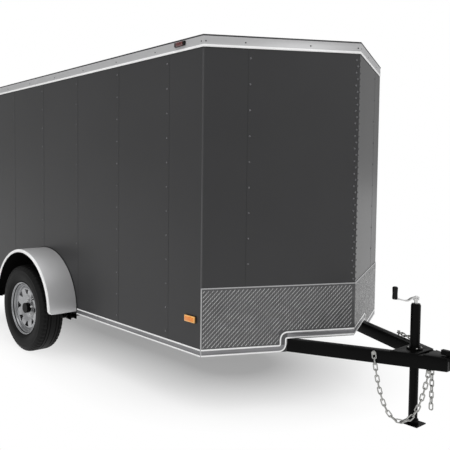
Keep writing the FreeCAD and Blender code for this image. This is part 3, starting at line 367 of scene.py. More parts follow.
def swept(frames, section, material_of=None):
    """A closed section carried through frames of (origin, across, up); both ends are capped."""
    shape = bmesh.new()
    rings = []
    for origin, across, up in frames:
        rings.append([shape.verts.new(origin + across * u + up * v) for u, v in section])
    count = len(section)
    for ring, following in zip(rings, rings[1:]):
        for i in range(count):
            j = (i + 1) % count
            face = shape.faces.new((ring[i], ring[j], following[j], following[i]))
            face.material_index = material_of[i] if material_of else 0
    shape.faces.new(rings[0][::-1])
    shape.faces.new(rings[-1])
    bmesh.ops.recalc_face_normals(shape, faces=shape.faces)
    mesh = bpy.data.meshes.new("run")
    shape.to_mesh(mesh)
    shape.free()
    return shaded(mesh, 50)


def plan_frames(points):
    """Frames of a run that is level all along; across points out to the run's right."""
    return [(Vector((p.x, p.y, 0)), Vector((-side.x, -side.y, 0)), Vector((0, 0, 1)))
            for p, side in zip(points, mitres(points))]


# %% [markdown]
# The roof trim is a cove of light aluminium right round the roof's edge: a thin dark band along
# the top, a pale face, and a rolled lip where it meets the skin, painted near white as a highlight.

# %% Roof trim
around = [Vector(p) for p in ((REAR, -HALF), (FRONT, -HALF), (FRONT + NOSE, 0), (FRONT, HALF),
                              (REAR, HALF))]
proud = 3 * MM
cove_low, cove_high = TRIM_LOW.z, TRIM_HIGH.z
cove = [(0, cove_low), (proud, cove_low), (proud + 2 * MM, cove_low + 3 * MM),
        (proud + 2 * MM, cove_low + 9 * MM), (proud, cove_low + 14 * MM),
        (proud - 1 * MM, cove_high - 14 * MM), (proud + 1 * MM, cove_high - 9 * MM),
        (proud + 1 * MM, cove_high), (0, cove_high)]
roof_band = show("roof_trim_cove", swept(plan_frames(around), cove, [1, 1, 1, 1, 0, 0, 2, 2, 0]),
                 "trailer", "mill_aluminium", white_trim, lip_highlight, trim_dark)
# A thin black strip on the wall just under the trim: a painted shadow below the lip.
shadow = [(0, cove_low - 6 * MM), (0.8 * MM, cove_low - 6 * MM), (0.8 * MM, cove_low),
          (0, cove_low)]
show("roof_trim_painted_shadow", swept(plan_frames(around), shadow), "trailer", "charcoal_skin",
     seam_painted_shadow)
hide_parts("roof_trim")


# %% [markdown]
# The lower trim is a shallow channel: a grey web between two lips painted near white as
# highlights. On the sides it runs from the front corner to the fender, and again behind the fender.

# %% Lower trim
def channel(width, depth):
    """Section of the lower trim, as across and outward sizes."""
    lip = 9 * MM
    web = depth * 0.45
    return [(0, 0), (0, depth), (lip * 0.5, depth + 1 * MM), (lip, depth), (lip + 2 * MM, web),
            (width - lip - 2 * MM, web), (width - lip, depth), (width - lip * 0.5, depth + 1 * MM),
            (width, depth), (width, 0)]


# Finish for each side of the channel: 1 is the lips' painted highlight, 0 the grey web.
CHANNEL_FINISH = [1, 1, 1, 0, 0, 0, 1, 1, 1, 0]
channel_section = [(out, across) for across, out in channel(LOWER_TRIM, proud)]
fender_low, fender_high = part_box("fender_right")
for side, label in ((-1, "right"), (1, "left")):
    runs = ((REAR, fender_low.x), (fender_high.x, FRONT))
    for (start, end), where in zip(runs, ("rear", "front")):
        points = [Vector((start, side * HALF)), Vector((end, side * HALF))]
        if side > 0:
            points.reverse()
        section = [(out, BASE + across) for out, across in channel_section]
        strip = show(f"lower_trim_{where}_{label}",
                     swept(plan_frames(points), section, CHANNEL_FINISH),
                     "trailer", "mill_aluminium", trim_mid, lip_highlight)
    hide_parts(f"lower_trim_{label}")

# %% [markdown]
# On the nose the same channel steps up over the tongue: low from the corner to the rail, round
# a bend, up beside the rail, round another bend, and along to the point of the V.


# %% Nose trim
def on_panel(side, along, height, out=0.0):
    """A point on the nose panel: along it from the front corner, and out from its skin."""
    p = Vector((FRONT, -HALF, height)) + ALONG * along + OUTWARD * out
    return Vector((p.x, p.y * (1 if side < 0 else -1), p.z))


def panel_direction(side, along, height):
    """A direction in the nose panel's plane."""
    d = ALONG * along + Vector((0, 0, height))
    return Vector((d.x, d.y * (1 if side < 0 else -1), d.z))


tongue_slope = math.tan(math.radians(27.5))
step_y = -(1.015 - NOSE) / (1 / tongue_slope - NOSE / HALF)
STEP = (HALF + step_y) * PANEL / HALF
print("the nose trim steps up", round(STEP, 3), "from the corner")
centre = LOWER_TRIM / 2
bend_run = [Vector(p) for p in ((0, BASE + centre), (STEP - centre - 4 * MM, BASE + centre),
                                (STEP - centre - 4 * MM, RAISED + centre),
                                (PANEL, RAISED + centre))]
bend_run = rounded(bend_run, 30 * MM)
for side, label in ((-1, "right"), (1, "left")):
    normal = Vector((OUTWARD.x, OUTWARD.y * (1 if side < 0 else -1), 0))
    frames = [(on_panel(side, p.x, p.y), panel_direction(side, left.x, left.y), normal)
              for p, left in zip(bend_run, mitres(bend_run))]
    section = [(across - centre, out) for across, out in channel(LOWER_TRIM, proud)]
    bend_strip = show(f"nose_trim_{label}", swept(frames, section, CHANNEL_FINISH), "trailer",
                      "mill_aluminium", trim_mid, lip_highlight)
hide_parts("nose_trim")

# %% [markdown]
# Rivets, tread bars, nuts and bolts repeat hundreds of times. One Geometry Nodes tree puts a
# low dome on every point it is given, at the size and turn stored there, and ends as real mesh.


# %% Scatter tree
def scatter_tree():
    tree = bpy.data.node_groups.new("heads_on_points", "GeometryNodeTree")
    for name, kind in (("Points", "NodeSocketGeometry"), ("Size", "NodeSocketVector"),
                       ("Segments", "NodeSocketInt"), ("Finish", "NodeSocketMaterial")):
        tree.interface.new_socket(name, in_out="INPUT", socket_type=kind)
    tree.interface.new_socket("Heads", in_out="OUTPUT", socket_type="NodeSocketGeometry")
    given = add(tree, "NodeGroupInput").outputs
    dome = add(tree, "GeometryNodeMeshUVSphere", {"Segments": given["Segments"], "Rings": 4,
                                                  "Radius": 1.0})
    turn = add(tree, "GeometryNodeInputNamedAttribute", {"Name": "turn"},
               data_type="FLOAT_VECTOR")
    rotation = add(tree, "FunctionNodeEulerToRotation", {"Euler": turn.outputs[0]})
    placed = add(tree, "GeometryNodeInstanceOnPoints",
                 {"Points": given["Points"], "Instance": dome.outputs["Mesh"],
                  "Rotation": rotation.outputs[0], "Scale": given["Size"]})
    real = add(tree, "GeometryNodeRealizeInstances", {"Geometry": placed.outputs[0]})
    smooth = add(tree, "GeometryNodeSetShadeSmooth", {"Geometry": real.outputs[0]})
    dressed = add(tree, "GeometryNodeSetMaterial", {"Geometry": smooth.outputs[0],
                                                    "Material": given["Finish"]})
    add(tree, "NodeGroupOutput", {"Heads": dressed.outputs[0]})
    return tree


HEADS = scatter_tree()


def heads(name, spots, size_mm, body, slot, material, segments=8):
    """Domes of one size at many spots; each spot is a place and an Euler turn."""
    mesh = bpy.data.meshes.new(name)
    mesh.from_pydata([place for place, turn in spots], [], [])
    turns = mesh.attributes.new("turn", "FLOAT_VECTOR", "POINT")
    turns.data.foreach_set("vector", [value for place, turn in spots for value in turn])
    thing = bpy.data.objects.new(name, mesh)
    bpy.context.scene.collection.objects.link(thing)
    modifier = thing.modifiers.new("heads", "NODES")
    modifier.node_group = HEADS
    inputs = {item.name: item.identifier for item in HEADS.interface.items_tree
              if item.in_out == "INPUT"}
    modifier[inputs["Size"]] = [value * MM for value in size_mm]
    modifier[inputs["Segments"]] = segments
    modifier[inputs["Finish"]] = material
    thing.update_tag()
    made = show(name, baked(thing), body, slot, material)
    print(name, len(spots), "heads,", len(made.data.polygons), "faces")
    return made


up_normal = Vector((0, 0, 1))


def facing(direction, spin=0.0):
    """The Euler turn that points a head's axis along a direction."""
    turn = direction.to_track_quat("Z", "Y") @ Euler((0, 0, spin)).to_quaternion()
    return turn.to_euler()


# %% [markdown]
# The skins are screwed or riveted to the wall posts in upright rows, and the heads are painted
# lighter than the skin as highlights. Each sheet overlaps the next at a lap seam, drawn as a thin
# black ribbon of painted shadow beside its row of rivets.

# %% Rivet rows and lap seams
skin_low, skin_high = GUARD_TOP + 60 * MM, cove_low - 40 * MM
side_rows = [FRONT - (310 + 515 * i) * MM for i in range(6)]
rivet_pitch = 150 * MM
side_heights = [BASE + 90 * MM + rivet_pitch * i
                for i in range(int((cove_low - BASE - 110 * MM) / rivet_pitch) + 1)]
for side, label in ((-1, "right"), (1, "left")):
    out = Vector((0, side, 0))
    arch = [(fender_low.x - 10 * MM, fender_high.x + 10 * MM, fender_high.z + 10 * MM)]
    spots = [(Vector((x, side * (HALF + 0.6 * MM), z)), facing(out))
             for x in side_rows for z in side_heights
             if not (arch[0][0] < x < arch[0][1] and z < arch[0][2])]
    panel_out = Vector((OUTWARD.x, OUTWARD.y * (1 if side < 0 else -1), 0))
    nose_heights = [z for z in side_heights if z > GUARD_TOP + 20 * MM]
    spots += [(on_panel(side, 290 * MM, z, 0.6 * MM), facing(panel_out)) for z in nose_heights]
    apex_count = int((cove_low - GUARD_TOP) / (38 * MM))
    spots += [(on_panel(side, PANEL - (14 + 10 * (i % 2)) * MM, GUARD_TOP + (20 + 38 * i) * MM,
                        0.6 * MM), facing(panel_out)) for i in range(apex_count)]
    # The heads take the lighter rivet colour: painted highlights along the rows.
    heads(f"skin_rivets_{label}", spots, (7, 7, 3), "trailer", "charcoal_skin", rivet_highlight_paint)


def strip(points, width, thick):
    """A thin flat ribbon through points that lie on a wall, standing up along Z."""
    shape = bmesh.new()
    for place, along, out in points:
        low = Vector((0, 0, BASE + LOWER_TRIM))
        tall = Vector((0, 0, cove_low - BASE - LOWER_TRIM))
        corners = [place + low, place + low + along * width, place + low + along * width + tall,
                   place + low + tall]
        front = [shape.verts.new(c + out * thick) for c in corners]
        back = [shape.verts.new(c) for c in corners]
        shape.faces.new(front)
        shape.faces.new(back[::-1])
        for i in range(4):
            j = (i + 1) % 4
            shape.faces.new((front[i], back[i], back[j], front[j]))
    bmesh.ops.recalc_face_normals(shape, faces=shape.faces)
    mesh = bpy.data.meshes.new("strip")
    shape.to_mesh(mesh)
    shape.free()
    return mesh


for side, label in ((-1, "right"), (1, "left")):
    mirror = 1 if side < 0 else -1
    panel_out = Vector((OUTWARD.x, OUTWARD.y * mirror, 0))
    panel_along = Vector((ALONG.x, ALONG.y * mirror, 0))
    laps = [(Vector((x + 20 * MM, side * HALF, 0)), Vector((1, 0, 0)), Vector((0, side, 0)))
            for x in side_rows]
    corner = Vector((FRONT, side * HALF, 0))
    laps.append((corner + panel_along * 275 * MM, panel_along, panel_out))
    # Each ribbon is a thin black strip on the wall: a painted shadow line at the lap.
    show(f"lap_seam_painted_shadows_{label}", strip(laps, 2.2 * MM, 0.5 * MM), "trailer", "charcoal_skin",
         seam_painted_shadow)

# %% [markdown]
# The side skin is bent round the front corner; a strip a little lighter than the skin along the
# bend is a painted highlight.

# %% Corner bends
for side, label in ((-1, "right"), (1, "left")):
    mirror = 1 if side < 0 else -1
    corner = Vector((FRONT, side * HALF, 0))
    bend_out = Vector((OUTWARD.x, OUTWARD.y * mirror, 0)) + Vector((0, side, 0))
    panel_along = Vector((ALONG.x, ALONG.y * mirror, 0))
    wide = 6 * MM
    shape = bmesh.new()
    outline = [corner - Vector((wide, 0, 0)), corner + bend_out.normalized() * 1.0 * MM,
               corner + panel_along * wide, corner - bend_out.normalized() * 3 * MM]
    rings = [[shape.verts.new(p + Vector((0, 0, z))) for p in outline]
             for z in (BASE + LOWER_TRIM, cove_low)]
    for i in range(4):
        j = (i + 1) % 4
        shape.faces.new((rings[0][i], rings[0][j], rings[1][j], rings[1][i]))
    shape.faces.new(rings[0][::-1])
    shape.faces.new(rings[1])
    bmesh.ops.recalc_face_normals(shape, faces=shape.faces)
    mesh = bpy.data.meshes.new("bend")
    shape.to_mesh(mesh)
    shape.free()
    show(f"corner_bend_{label}", shaded(mesh, 60), "trailer", "charcoal_skin", corner_highlight_paint)

# %% [markdown]
# The stone guard is diamond tread plate. Its bars are short raised lozenges, each turned across
# its neighbours, and a bright angle finishes its upper edge and its side corner. The bars that lean
# one way are painted near white as highlights, as if only they caught the light; the others keep
# the plate's dull tone.

# %% Tread plate
bar_pitch = 27 * MM
for side, label in ((-1, "right"), (1, "left")):
    mirror = 1 if side < 0 else -1
    panel_out = Vector((OUTWARD.x, OUTWARD.y * mirror, 0))
    panel_along = Vector((ALONG.x, ALONG.y * mirror, 0))
    basis = Matrix((panel_along * mirror, Vector((0, 0, 1)), panel_out)).transposed()
    rows = int((GUARD_TOP - BASE - LOWER_TRIM - 20 * MM) / (bar_pitch / 2))
    columns = int((PANEL - 24 * MM) / bar_pitch)
    # The bright set carries the painted highlight; the dull set keeps the plate's tone.
    for name, material, lean, shift in (("bright", bar_painted_highlight, 52, 0.0),
                                        ("dull", bar_dull, -52, 0.5)):
        turn = basis.to_quaternion() @ Euler((0, 0, math.radians(lean))).to_quaternion()
        spots = []
        for row in range(rows):
            z = BASE + LOWER_TRIM + 14 * MM + row * bar_pitch / 2
            for column in range(columns):
                s = 16 * MM + (column + shift + 0.5 * (row % 2)) * bar_pitch
                on_low = s < STEP - LOWER_TRIM - 16 * MM
                on_high = z > RAISED + LOWER_TRIM + 10 * MM and s < PANEL - 14 * MM
                if on_low or on_high:
                    spots.append((on_panel(side, s, z, 2 * MM), turn.to_euler()))
        heads(f"tread_bars_{name}_{label}", spots, (12, 2.6, 1.6), "trailer", "tread_plate",
              material, segments=6)
repaint(tread_base, "stone_guard_right", "stone_guard_left")

edge_run = [Vector(p) for p in ((0, BASE + 2 * MM), (0, GUARD_TOP - 4 * MM),
                                (PANEL, GUARD_TOP - 4 * MM))]
for side, label in ((-1, "right"), (1, "left")):
    normal = Vector((OUTWARD.x, OUTWARD.y * (1 if side < 0 else -1), 0))
    frames = [(on_panel(side, p.x, p.y), panel_direction(side, left.x, left.y), normal)
              for p, left in zip(edge_run, mitres(edge_run))]
    section = [(-4 * MM, 0), (-4 * MM, 3 * MM), (-1 * MM, 4 * MM), (2 * MM, 3 * MM), (2 * MM, 0)]
    show(f"guard_edge_{label}", swept(frames, section), "trailer", "mill_aluminium", white_trim)

# %% [markdown]
# The fender is one bent sheet with its outer edge rolled into a bead, and a black rubber welt
# squeezed between it and the wall. The bead's outer face is painted near white as a highlight,
# the sheet's underside black as painted shade, and a black half disc on the wall inside the arch
# is painted shade too.


# %% Fenders
def arc_frames(y, side, corner=0.0):
    """Frames round the wheel arch: across points outboard, up points away from the axle.

    Near both ends the section narrows along a quarter circle, so that the corners are round."""
    middle = (fender_low.x + fender_high.x) / 2
    frames = []
    for step in range(97):
        turn = math.pi * (0.5 - 0.5 * math.cos(math.pi * step / 96))
        up = Vector((math.cos(turn), 0, math.sin(turn)))
        from_end = min(turn, math.pi - turn) * arch_radius
        inset = 0.0
        if from_end < corner:
            inset = corner - math.sqrt(corner ** 2 - (corner - from_end) ** 2)
        across = Vector((0, side * (1 - inset / fender_width), 0))
        frames.append((Vector((middle, y, fender_low.z)), across, up))
    return frames


arch_radius = (fender_high.x - fender_low.x) / 2
fender_width = fender_high.y - fender_low.y
bead = 13 * MM
for side, label in ((-1, "right"), (1, "left")):
    bead_ring = [(fender_width - bead + bead * math.cos(math.radians(a)),
                  arch_radius - bead + bead * math.sin(math.radians(a)))
                 for a in range(90, -181, -30)]
    skin = [(1 * MM, arch_radius - 4 * MM), (1 * MM, arch_radius)] + bead_ring
    skin += [(fender_width - 2 * bead, arch_radius - 4 * MM)]
    # Finishes round the section: 1 paints a highlight on the bead, 2 paints shade under the sheet.
    finish_of = [0, 0] + [1] * 5 + [2] * (len(bead_ring) - 6) + [2, 2]
    wing = show(f"fender_skin_{label}",
                swept(arc_frames(side * HALF, side, 34 * MM), skin, finish_of),
                "trailer", "mill_aluminium", fender_metal, lip_highlight, arch_shade_black)
    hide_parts(f"fender_{label}")
    # A black half disc on the wall inside the arch: painted shade behind the wheel.
    well = bmesh.new()
    middle = (fender_low.x + fender_high.x) / 2
    rims = [[well.verts.new((middle + (arch_radius - 2 * MM) * math.cos(math.pi * k / 48),
                             side * (HALF + thick * MM),
                             fender_low.z + (arch_radius - 2 * MM) * math.sin(math.pi * k / 48)))
             for k in range(49)] for thick in (0, 1)]
    well.faces.new(rims[0])
    well.faces.new(rims[1][::-1])
    for k in range(49):
        m = (k + 1) % 49
        well.faces.new((rims[0][k], rims[1][k], rims[1][m], rims[0][m]))
    bmesh.ops.recalc_face_normals(well, faces=well.faces)
    arch_shade_sheet = bpy.data.meshes.new("well")
    well.to_mesh(arch_shade_sheet)
    well.free()
    show(f"wheel_arch_painted_shade_{label}", arch_shade_sheet, "trailer", "black_frame_paint", arch_shade_black)
    welt = [(0, arch_radius - 3 * MM), (0, arch_radius + 6 * MM), (5 * MM, arch_radius + 3 * MM),
            (6 * MM, arch_radius - 3 * MM)]
    show(f"fender_welt_{label}", swept(arc_frames(side * HALF, side), welt), "trailer",
         "tyre_rubber", grip_rubber)


# %% [markdown]
# A trailer tyre has a plain rounded shoulder with cut blocks, and straight ribs between narrow
# grooves round the tread. The section is turned about the axle.

# %% Tyres
def turned(section, centre, side, steps=96, finish_of=None, closed=True, notch=None):
    """A section of (outboard, radius) points turned about the axle."""
    shape = bmesh.new()
    rings = []
    for step in range(steps):
        angle = 2 * math.pi * step / steps
        spoke = Vector((math.cos(angle), 0, math.sin(angle)))
        rings.append([shape.verts.new(centre + Vector((0, side * u, 0)) +
                                      spoke * (r - (notch(step, u, r) if notch else 0)))
                      for u, r in section])
    count = len(section)
    for k in range(steps):
        ring, following = rings[k], rings[(k + 1) % steps]
        for i in range(count if closed else count - 1):
            j = (i + 1) % count
            face = shape.faces.new((ring[i], ring[j], following[j], following[i]))
            face.material_index = finish_of[i] if finish_of else 0
    bmesh.ops.recalc_face_normals(shape, faces=shape.faces)
    mesh = bpy.data.meshes.new("turned")
    shape.to_mesh(mesh)
    shape.free()
    return shaded(mesh, 40)


TYRE_HALF = [(72, 193), (74, 204), (79, 212), (88, 222), (94, 232), (95, 236), (97, 237), (98, 240),
             (101, 256), (102.5, 272), (102, 288), (100, 300), (101, 303), (97.5, 309), (94, 319),
             (90, 326), (88, 330), (84, 335), (78, 338.5), (70, 341), (60, 342.4), (54, 343),
             (54, 335), (48, 335), (48, 343), (29, 343), (29, 335), (23, 335), (23, 343),
             (0, 343)]


def tyre_section(radius, width):
    """Half the section from the bead out to the tread's middle, then mirrored."""
    scale_out, scale_up = width / 0.205, radius / 0.343
    half = [(u * MM * scale_out, r * MM * scale_up) for u, r in TYRE_HALF]
    return half + [(-u, r) for u, r in reversed(half[:-1])]


def shoulder_cuts(step, u, r):
    """The tread's outer blocks: a cut across the shoulder every third step."""
    return 6 * MM if step % 3 == 0 and abs(u) > 56 * MM and r > 0.325 else 0.0


for side, label in ((-1, "right"), (1, "left")):
    low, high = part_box(f"tyre_{label}")
    centre = (low + high) / 2
    section = tyre_section((high.z - low.z) / 2, high.y - low.y)
    tyre = show(f"tyre_tread_{label}", turned(section, centre, side, 174, notch=shoulder_cuts),
                f"wheel_{label}", "tyre_rubber", tyre_rubber)
    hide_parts(f"tyre_{label}")

# %% [markdown]
# The wheel is pressed steel in silver enamel: a stepped rim with a rolled lip, and a disc with
# eight windows that widen outwards. Five lug nuts hold it to a black hub.

# %% Wheels
RIM_RINGS = [(-84, 208), (-84, 204), (-76, 198), (-70, 190), (-20, 176), (10, 176), (44, 184),
             (60, 187), (66, 190), (68, 196), (76, 198), (79, 202), (82, 202), (84, 204), (84, 207),
             (82, 208), (78, 207), (76, 203), (64, 199), (60, 192), (40, 189), (10, 181),
             (-20, 181), (-68, 195), (-74, 202), (-80, 207)]
DISC_PROFILE = [(187, 46), (180, 40), (172, 42), (164, 50), (157, 53), (150, 53), (137, 52),
                (123, 50), (110, 47), (96, 42), (82, 36), (68, 33), (44, 33), (36, 36)]
WINDOW_IN, WINDOW_OUT = 110, 150


def window_half(radius):
    """Half the window's angle at a radius, in degrees."""
    share = min(max((radius - WINDOW_IN) / (WINDOW_OUT - WINDOW_IN), 0), 1)
    return 4.5 + 7.5 * share


def disc(centre, side):
    """The wheel's disc with its eight windows left open, as one thick sheet."""
    shape = bmesh.new()
    rings = []
    for radius, out in DISC_PROFILE:
        half = window_half(radius)
        offsets = (-22.5, -half - 3, -half, -half / 2, half / 2, half, half + 3)
        ring = []
        for window in range(8):
            for offset in offsets:
                angle = math.radians(45 * window + offset)
                spoke = Vector((math.cos(angle), 0, math.sin(angle)))
                ring.append(shape.verts.new(centre + Vector((0, side * out * MM, 0))
                                            + spoke * radius * MM))
        rings.append(ring)
    for (outer, inner), (radius, out) in zip(zip(rings, rings[1:]), DISC_PROFILE):
        for i in range(len(outer)):
            if i % 7 in (2, 3, 4) and WINDOW_IN < radius <= WINDOW_OUT:
                continue
            j = (i + 1) % len(outer)
            shape.faces.new((outer[i], outer[j], inner[j], inner[i]))
    bmesh.ops.recalc_face_normals(shape, faces=shape.faces)
    if sum(face.normal.y * side for face in shape.faces) < 0:
        bmesh.ops.reverse_faces(shape, faces=shape.faces)
    mesh = bpy.data.meshes.new("disc")
    shape.to_mesh(mesh)
    shape.free()
    thing = bpy.data.objects.new("disc", mesh)
    bpy.context.scene.collection.objects.link(thing)
    sheet = thing.modifiers.new("sheet", "SOLIDIFY")
    sheet.thickness = 4 * MM
    sheet.offset = -1
    return baked(thing)


for side, label in ((-1, "right"), (1, "left")):
    low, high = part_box(f"rim_{label}")
    centre = (low + high) / 2
    barrel = turned([(u * MM, r * MM) for u, r in RIM_RINGS], centre, side, 72)
    wheel = show(f"wheel_disc_{label}", joined((barrel, 0), (disc(centre, side), 0)),
                 f"wheel_{label}", "silver_wheel_paint", wheel_silver)
    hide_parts(f"rim_{label}")
    nut_ring = []
    for k in range(5):
        angle = 2 * math.pi * k / 5 + 0.3
        spoke = Vector((math.cos(angle), 0, math.sin(angle)))
        nut_ring.append((centre + spoke * 57 * MM + Vector((0, side * 34 * MM, 0)),
                         facing(Vector((0, side, 0)))))
    heads(f"lug_nuts_{label}", nut_ring, (10, 10, 16), f"wheel_{label}", "zinc_steel",
          bright_steel, 6)
    repaint(black_paint, f"hub_{label}")

# %% [markdown]
# The roof sheet is folded over the trim and screwed down all round, and the trim itself is
# screwed to the posts: two screws at each corner joint and one every 400 mm or so.

# %% Roof and trim screws
roof_pitch, roof_inset = 150 * MM, 18 * MM
trim_height = cove_low + 32 * MM
for side, label in ((-1, "right"), (1, "left")):
    mirror = 1 if side < 0 else -1
    panel_out = Vector((OUTWARD.x, OUTWARD.y * mirror, 0))
    count = int((FRONT - REAR) / roof_pitch)
    spots = [(Vector((REAR + (i + 0.5) * roof_pitch, side * (HALF - roof_inset), ROOF_TOP)),
              facing(up_normal)) for i in range(count)]
    spots += [(on_panel(side, (i + 0.5) * roof_pitch, ROOF_TOP, -roof_inset), facing(up_normal))
              for i in range(int(PANEL / roof_pitch))]
    heads(f"roof_screws_{label}", spots, (6, 6, 2.4), "trailer", "mill_aluminium", zinc)
    runs = [FRONT - (14 + 410 * i) * MM for i in range(8)]
    spots = [(Vector((x, side * (HALF + 2 * MM), trim_height)), facing(Vector((0, side, 0))))
             for x in runs if x > REAR]
    spots += [(on_panel(side, s * MM, trim_height, 2 * MM), facing(panel_out))
              for s in (14, 257, 670, PANEL / MM - 16)]
    heads(f"trim_screws_{label}", spots, (5, 5, 2.6), "trailer", "mill_aluminium", trim_dark)

# %% [markdown]
# Chassis, tongue, jack plate, coupler and spring hangers keep their CAD shapes with softened edges
# and black enamel; the axle, springs, jack tube and leg and the latch are repainted black. The
# chains, the spring clamps and the hinge lugs are bright zinc.

# %% Chassis and tongue
for node in ("main_rail_right", "main_rail_left", "rear_sill", "nose_frame", "tongue_rail_right",
             "tongue_rail_left", "crossmembers"):
    softened(node, 3, black_paint, "black_frame_paint")
for node in ("jack_plate", "coupler", "spring_hangers"):
    softened(node, 1.2, black_paint, "black_frame_paint")
repaint(black_paint, "axle", "leaf_spring_right", "leaf_spring_left", "jack_tube", "jack_leg",
        "coupler_latch")
repaint(zinc, "safety_chain_right", "safety_chain_left", "spring_clamps",
        "door_hinge_lugs")

# %% [markdown]
# The crank is a flat bar with a double bend, pinned to the jack's shaft in a small yoke. Its
# black grip stands upright at the bar's end.

# %% Jack crank
crank_low, crank_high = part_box("jack_crank")
foot_low, foot_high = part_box("jack_leg")
axis = (foot_low + foot_high) / 2
tube_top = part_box("jack_tube")[1].z
arm_way = Vector((math.cos(math.radians(233)), math.sin(math.radians(233)), 0))
arm_side = Vector((-arm_way.y, arm_way.x, 0))
reach = 119 * MM


def lathe(points, base, up, steps=24):
    """A closed turned shape: (height, radius) points about an axis."""
    side_way = up.orthogonal().normalized()
    other = up.cross(side_way)
    shape = bmesh.new()
    rings = [[shape.verts.new(base + up * h + (side_way * math.cos(2 * math.pi * k / steps)
                                              + other * math.sin(2 * math.pi * k / steps)) * r)
              for k in range(steps)] for h, r in points]
    for ring, following in zip(rings, rings[1:]):
        for k in range(steps):
            m = (k + 1) % steps
            shape.faces.new((ring[k], ring[m], following[m], following[k]))
    shape.faces.new(rings[0][::-1])
    shape.faces.new(rings[-1])
    bmesh.ops.recalc_face_normals(shape, faces=shape.faces)
    mesh = bpy.data.meshes.new("lathe")
    shape.to_mesh(mesh)
    shape.free()
    return shaded(mesh)


def steps_of(*pairs):
    return [(height * MM, radius * MM) for height, radius in pairs]


up_way = Vector((0, 0, 1))
spine = [(-14, 36), (6, 36), (26, 30), (44, 17), (60, 15), (96, 24), (reach / MM + 10, 26)]
spine = [Vector((along * MM, tube_top + rise * MM)) for along, rise in spine]
spine = rounded(spine, 22 * MM, 4)
frames = [(Vector((axis.x, axis.y, p.y)) + arm_way * p.x, arm_side,
           arm_way * side_way.x + up_way * side_way.y)
          for p, side_way in zip(spine, mitres(spine))]
bar = [(-10 * MM, -3 * MM), (10 * MM, -3 * MM), (10 * MM, 3 * MM), (-10 * MM, 3 * MM)]
shaft_base = Vector((axis.x, axis.y, tube_top))
shaft = lathe(steps_of((-2, 9), (26, 9), (28, 7), (42, 7), (44, 5)), shaft_base, up_way)
yoke = block(shaft_base + Vector((-13 * MM, -13 * MM, 18 * MM)),
             shaft_base + Vector((13 * MM, 13 * MM, 31 * MM)), 3)
pin = lathe(steps_of((-17, 5), (-16, 6), (-13, 6), (-12, 4), (12, 4), (13, 6), (17, 6)),
            shaft_base + Vector((0, 0, 25 * MM)), arm_side, 12)
grip_base = Vector((axis.x, axis.y, tube_top + 23 * MM)) + arm_way * reach
grip = lathe(steps_of((0, 11), (2, 13), (8, 14.5), (30, 13.5), (58, 14.5), (66, 15), (70, 13),
                      (73, 8)), grip_base, up_way)
crank = show("jack_crank_bent", joined((swept(frames, bar), 0), (shaft, 0), (yoke, 0), (pin, 0),
                                       (grip, 1)),
             "trailer", "black_frame_paint", bright_steel, grip_rubber)
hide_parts("jack_crank")
flange_bolts = []
plate_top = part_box("jack_plate")[1].z
for k in range(4):
    turn_by = math.radians(45 + 90 * k)
    flange_bolts.append((Vector((axis.x + 34 * MM * math.cos(turn_by),
                                 axis.y + 34 * MM * math.sin(turn_by), plate_top + 8 * MM)),
                         Euler((0, 0, turn_by))))
heads("jack_flange_bolts", flange_bolts, (6.5, 6.5, 6), "trailer", "zinc_steel", zinc, 6)
repaint(charcoal, "side_wall_right", "side_wall_left", "nose_wall_right", "nose_wall_left")
repaint(roof_metal, "roof")
repaint(plywood, "floor_deck")

# %% [markdown]
# Rear: two leaves in an aluminium frame, each with its own locking bar, tail lights on the posts
# and a blank plate.

# %% Rear end and lights
for label in ("right", "left"):
    softened(f"rear_door_{label}", 2, charcoal, "charcoal_skin")
    softened(f"rear_post_{label}", 3, white_trim, "mill_aluminium")
    softened(f"hinge_straps_{label}", 1, zinc, "zinc_steel")
    softened(f"door_lock_{label}", 1.5, zinc, "zinc_steel")
softened("rear_header", 3, white_trim, "mill_aluminium")


def panels(*boxes):
    """Several blocks in one mesh; each is its corners, its edge radius and its material."""
    return joined(*((block(low, high, radius), finish) for low, high, radius, finish in boxes))


opening_half = -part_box("rear_post_right")[1].y
opening_top, opening_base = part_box("rear_header")[0].z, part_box("rear_sill")[1].z
seal, seal_back, seal_front = 3.5 * MM, REAR + 2 * MM, REAR + 30 * MM
door_seals = panels(
    ((seal_back, -opening_half, opening_base), (seal_front, -opening_half + seal, opening_top), 1, 0),
    ((seal_back, opening_half - seal, opening_base), (seal_front, opening_half, opening_top), 1, 0),
    ((seal_back, -opening_half, opening_top - seal), (seal_front, opening_half, opening_top), 1, 0),
    ((seal_back, -opening_half, opening_base), (seal_front, opening_half, opening_base + seal), 1, 0))
show("door_seals", door_seals, "trailer", "tyre_rubber", grip_rubber)

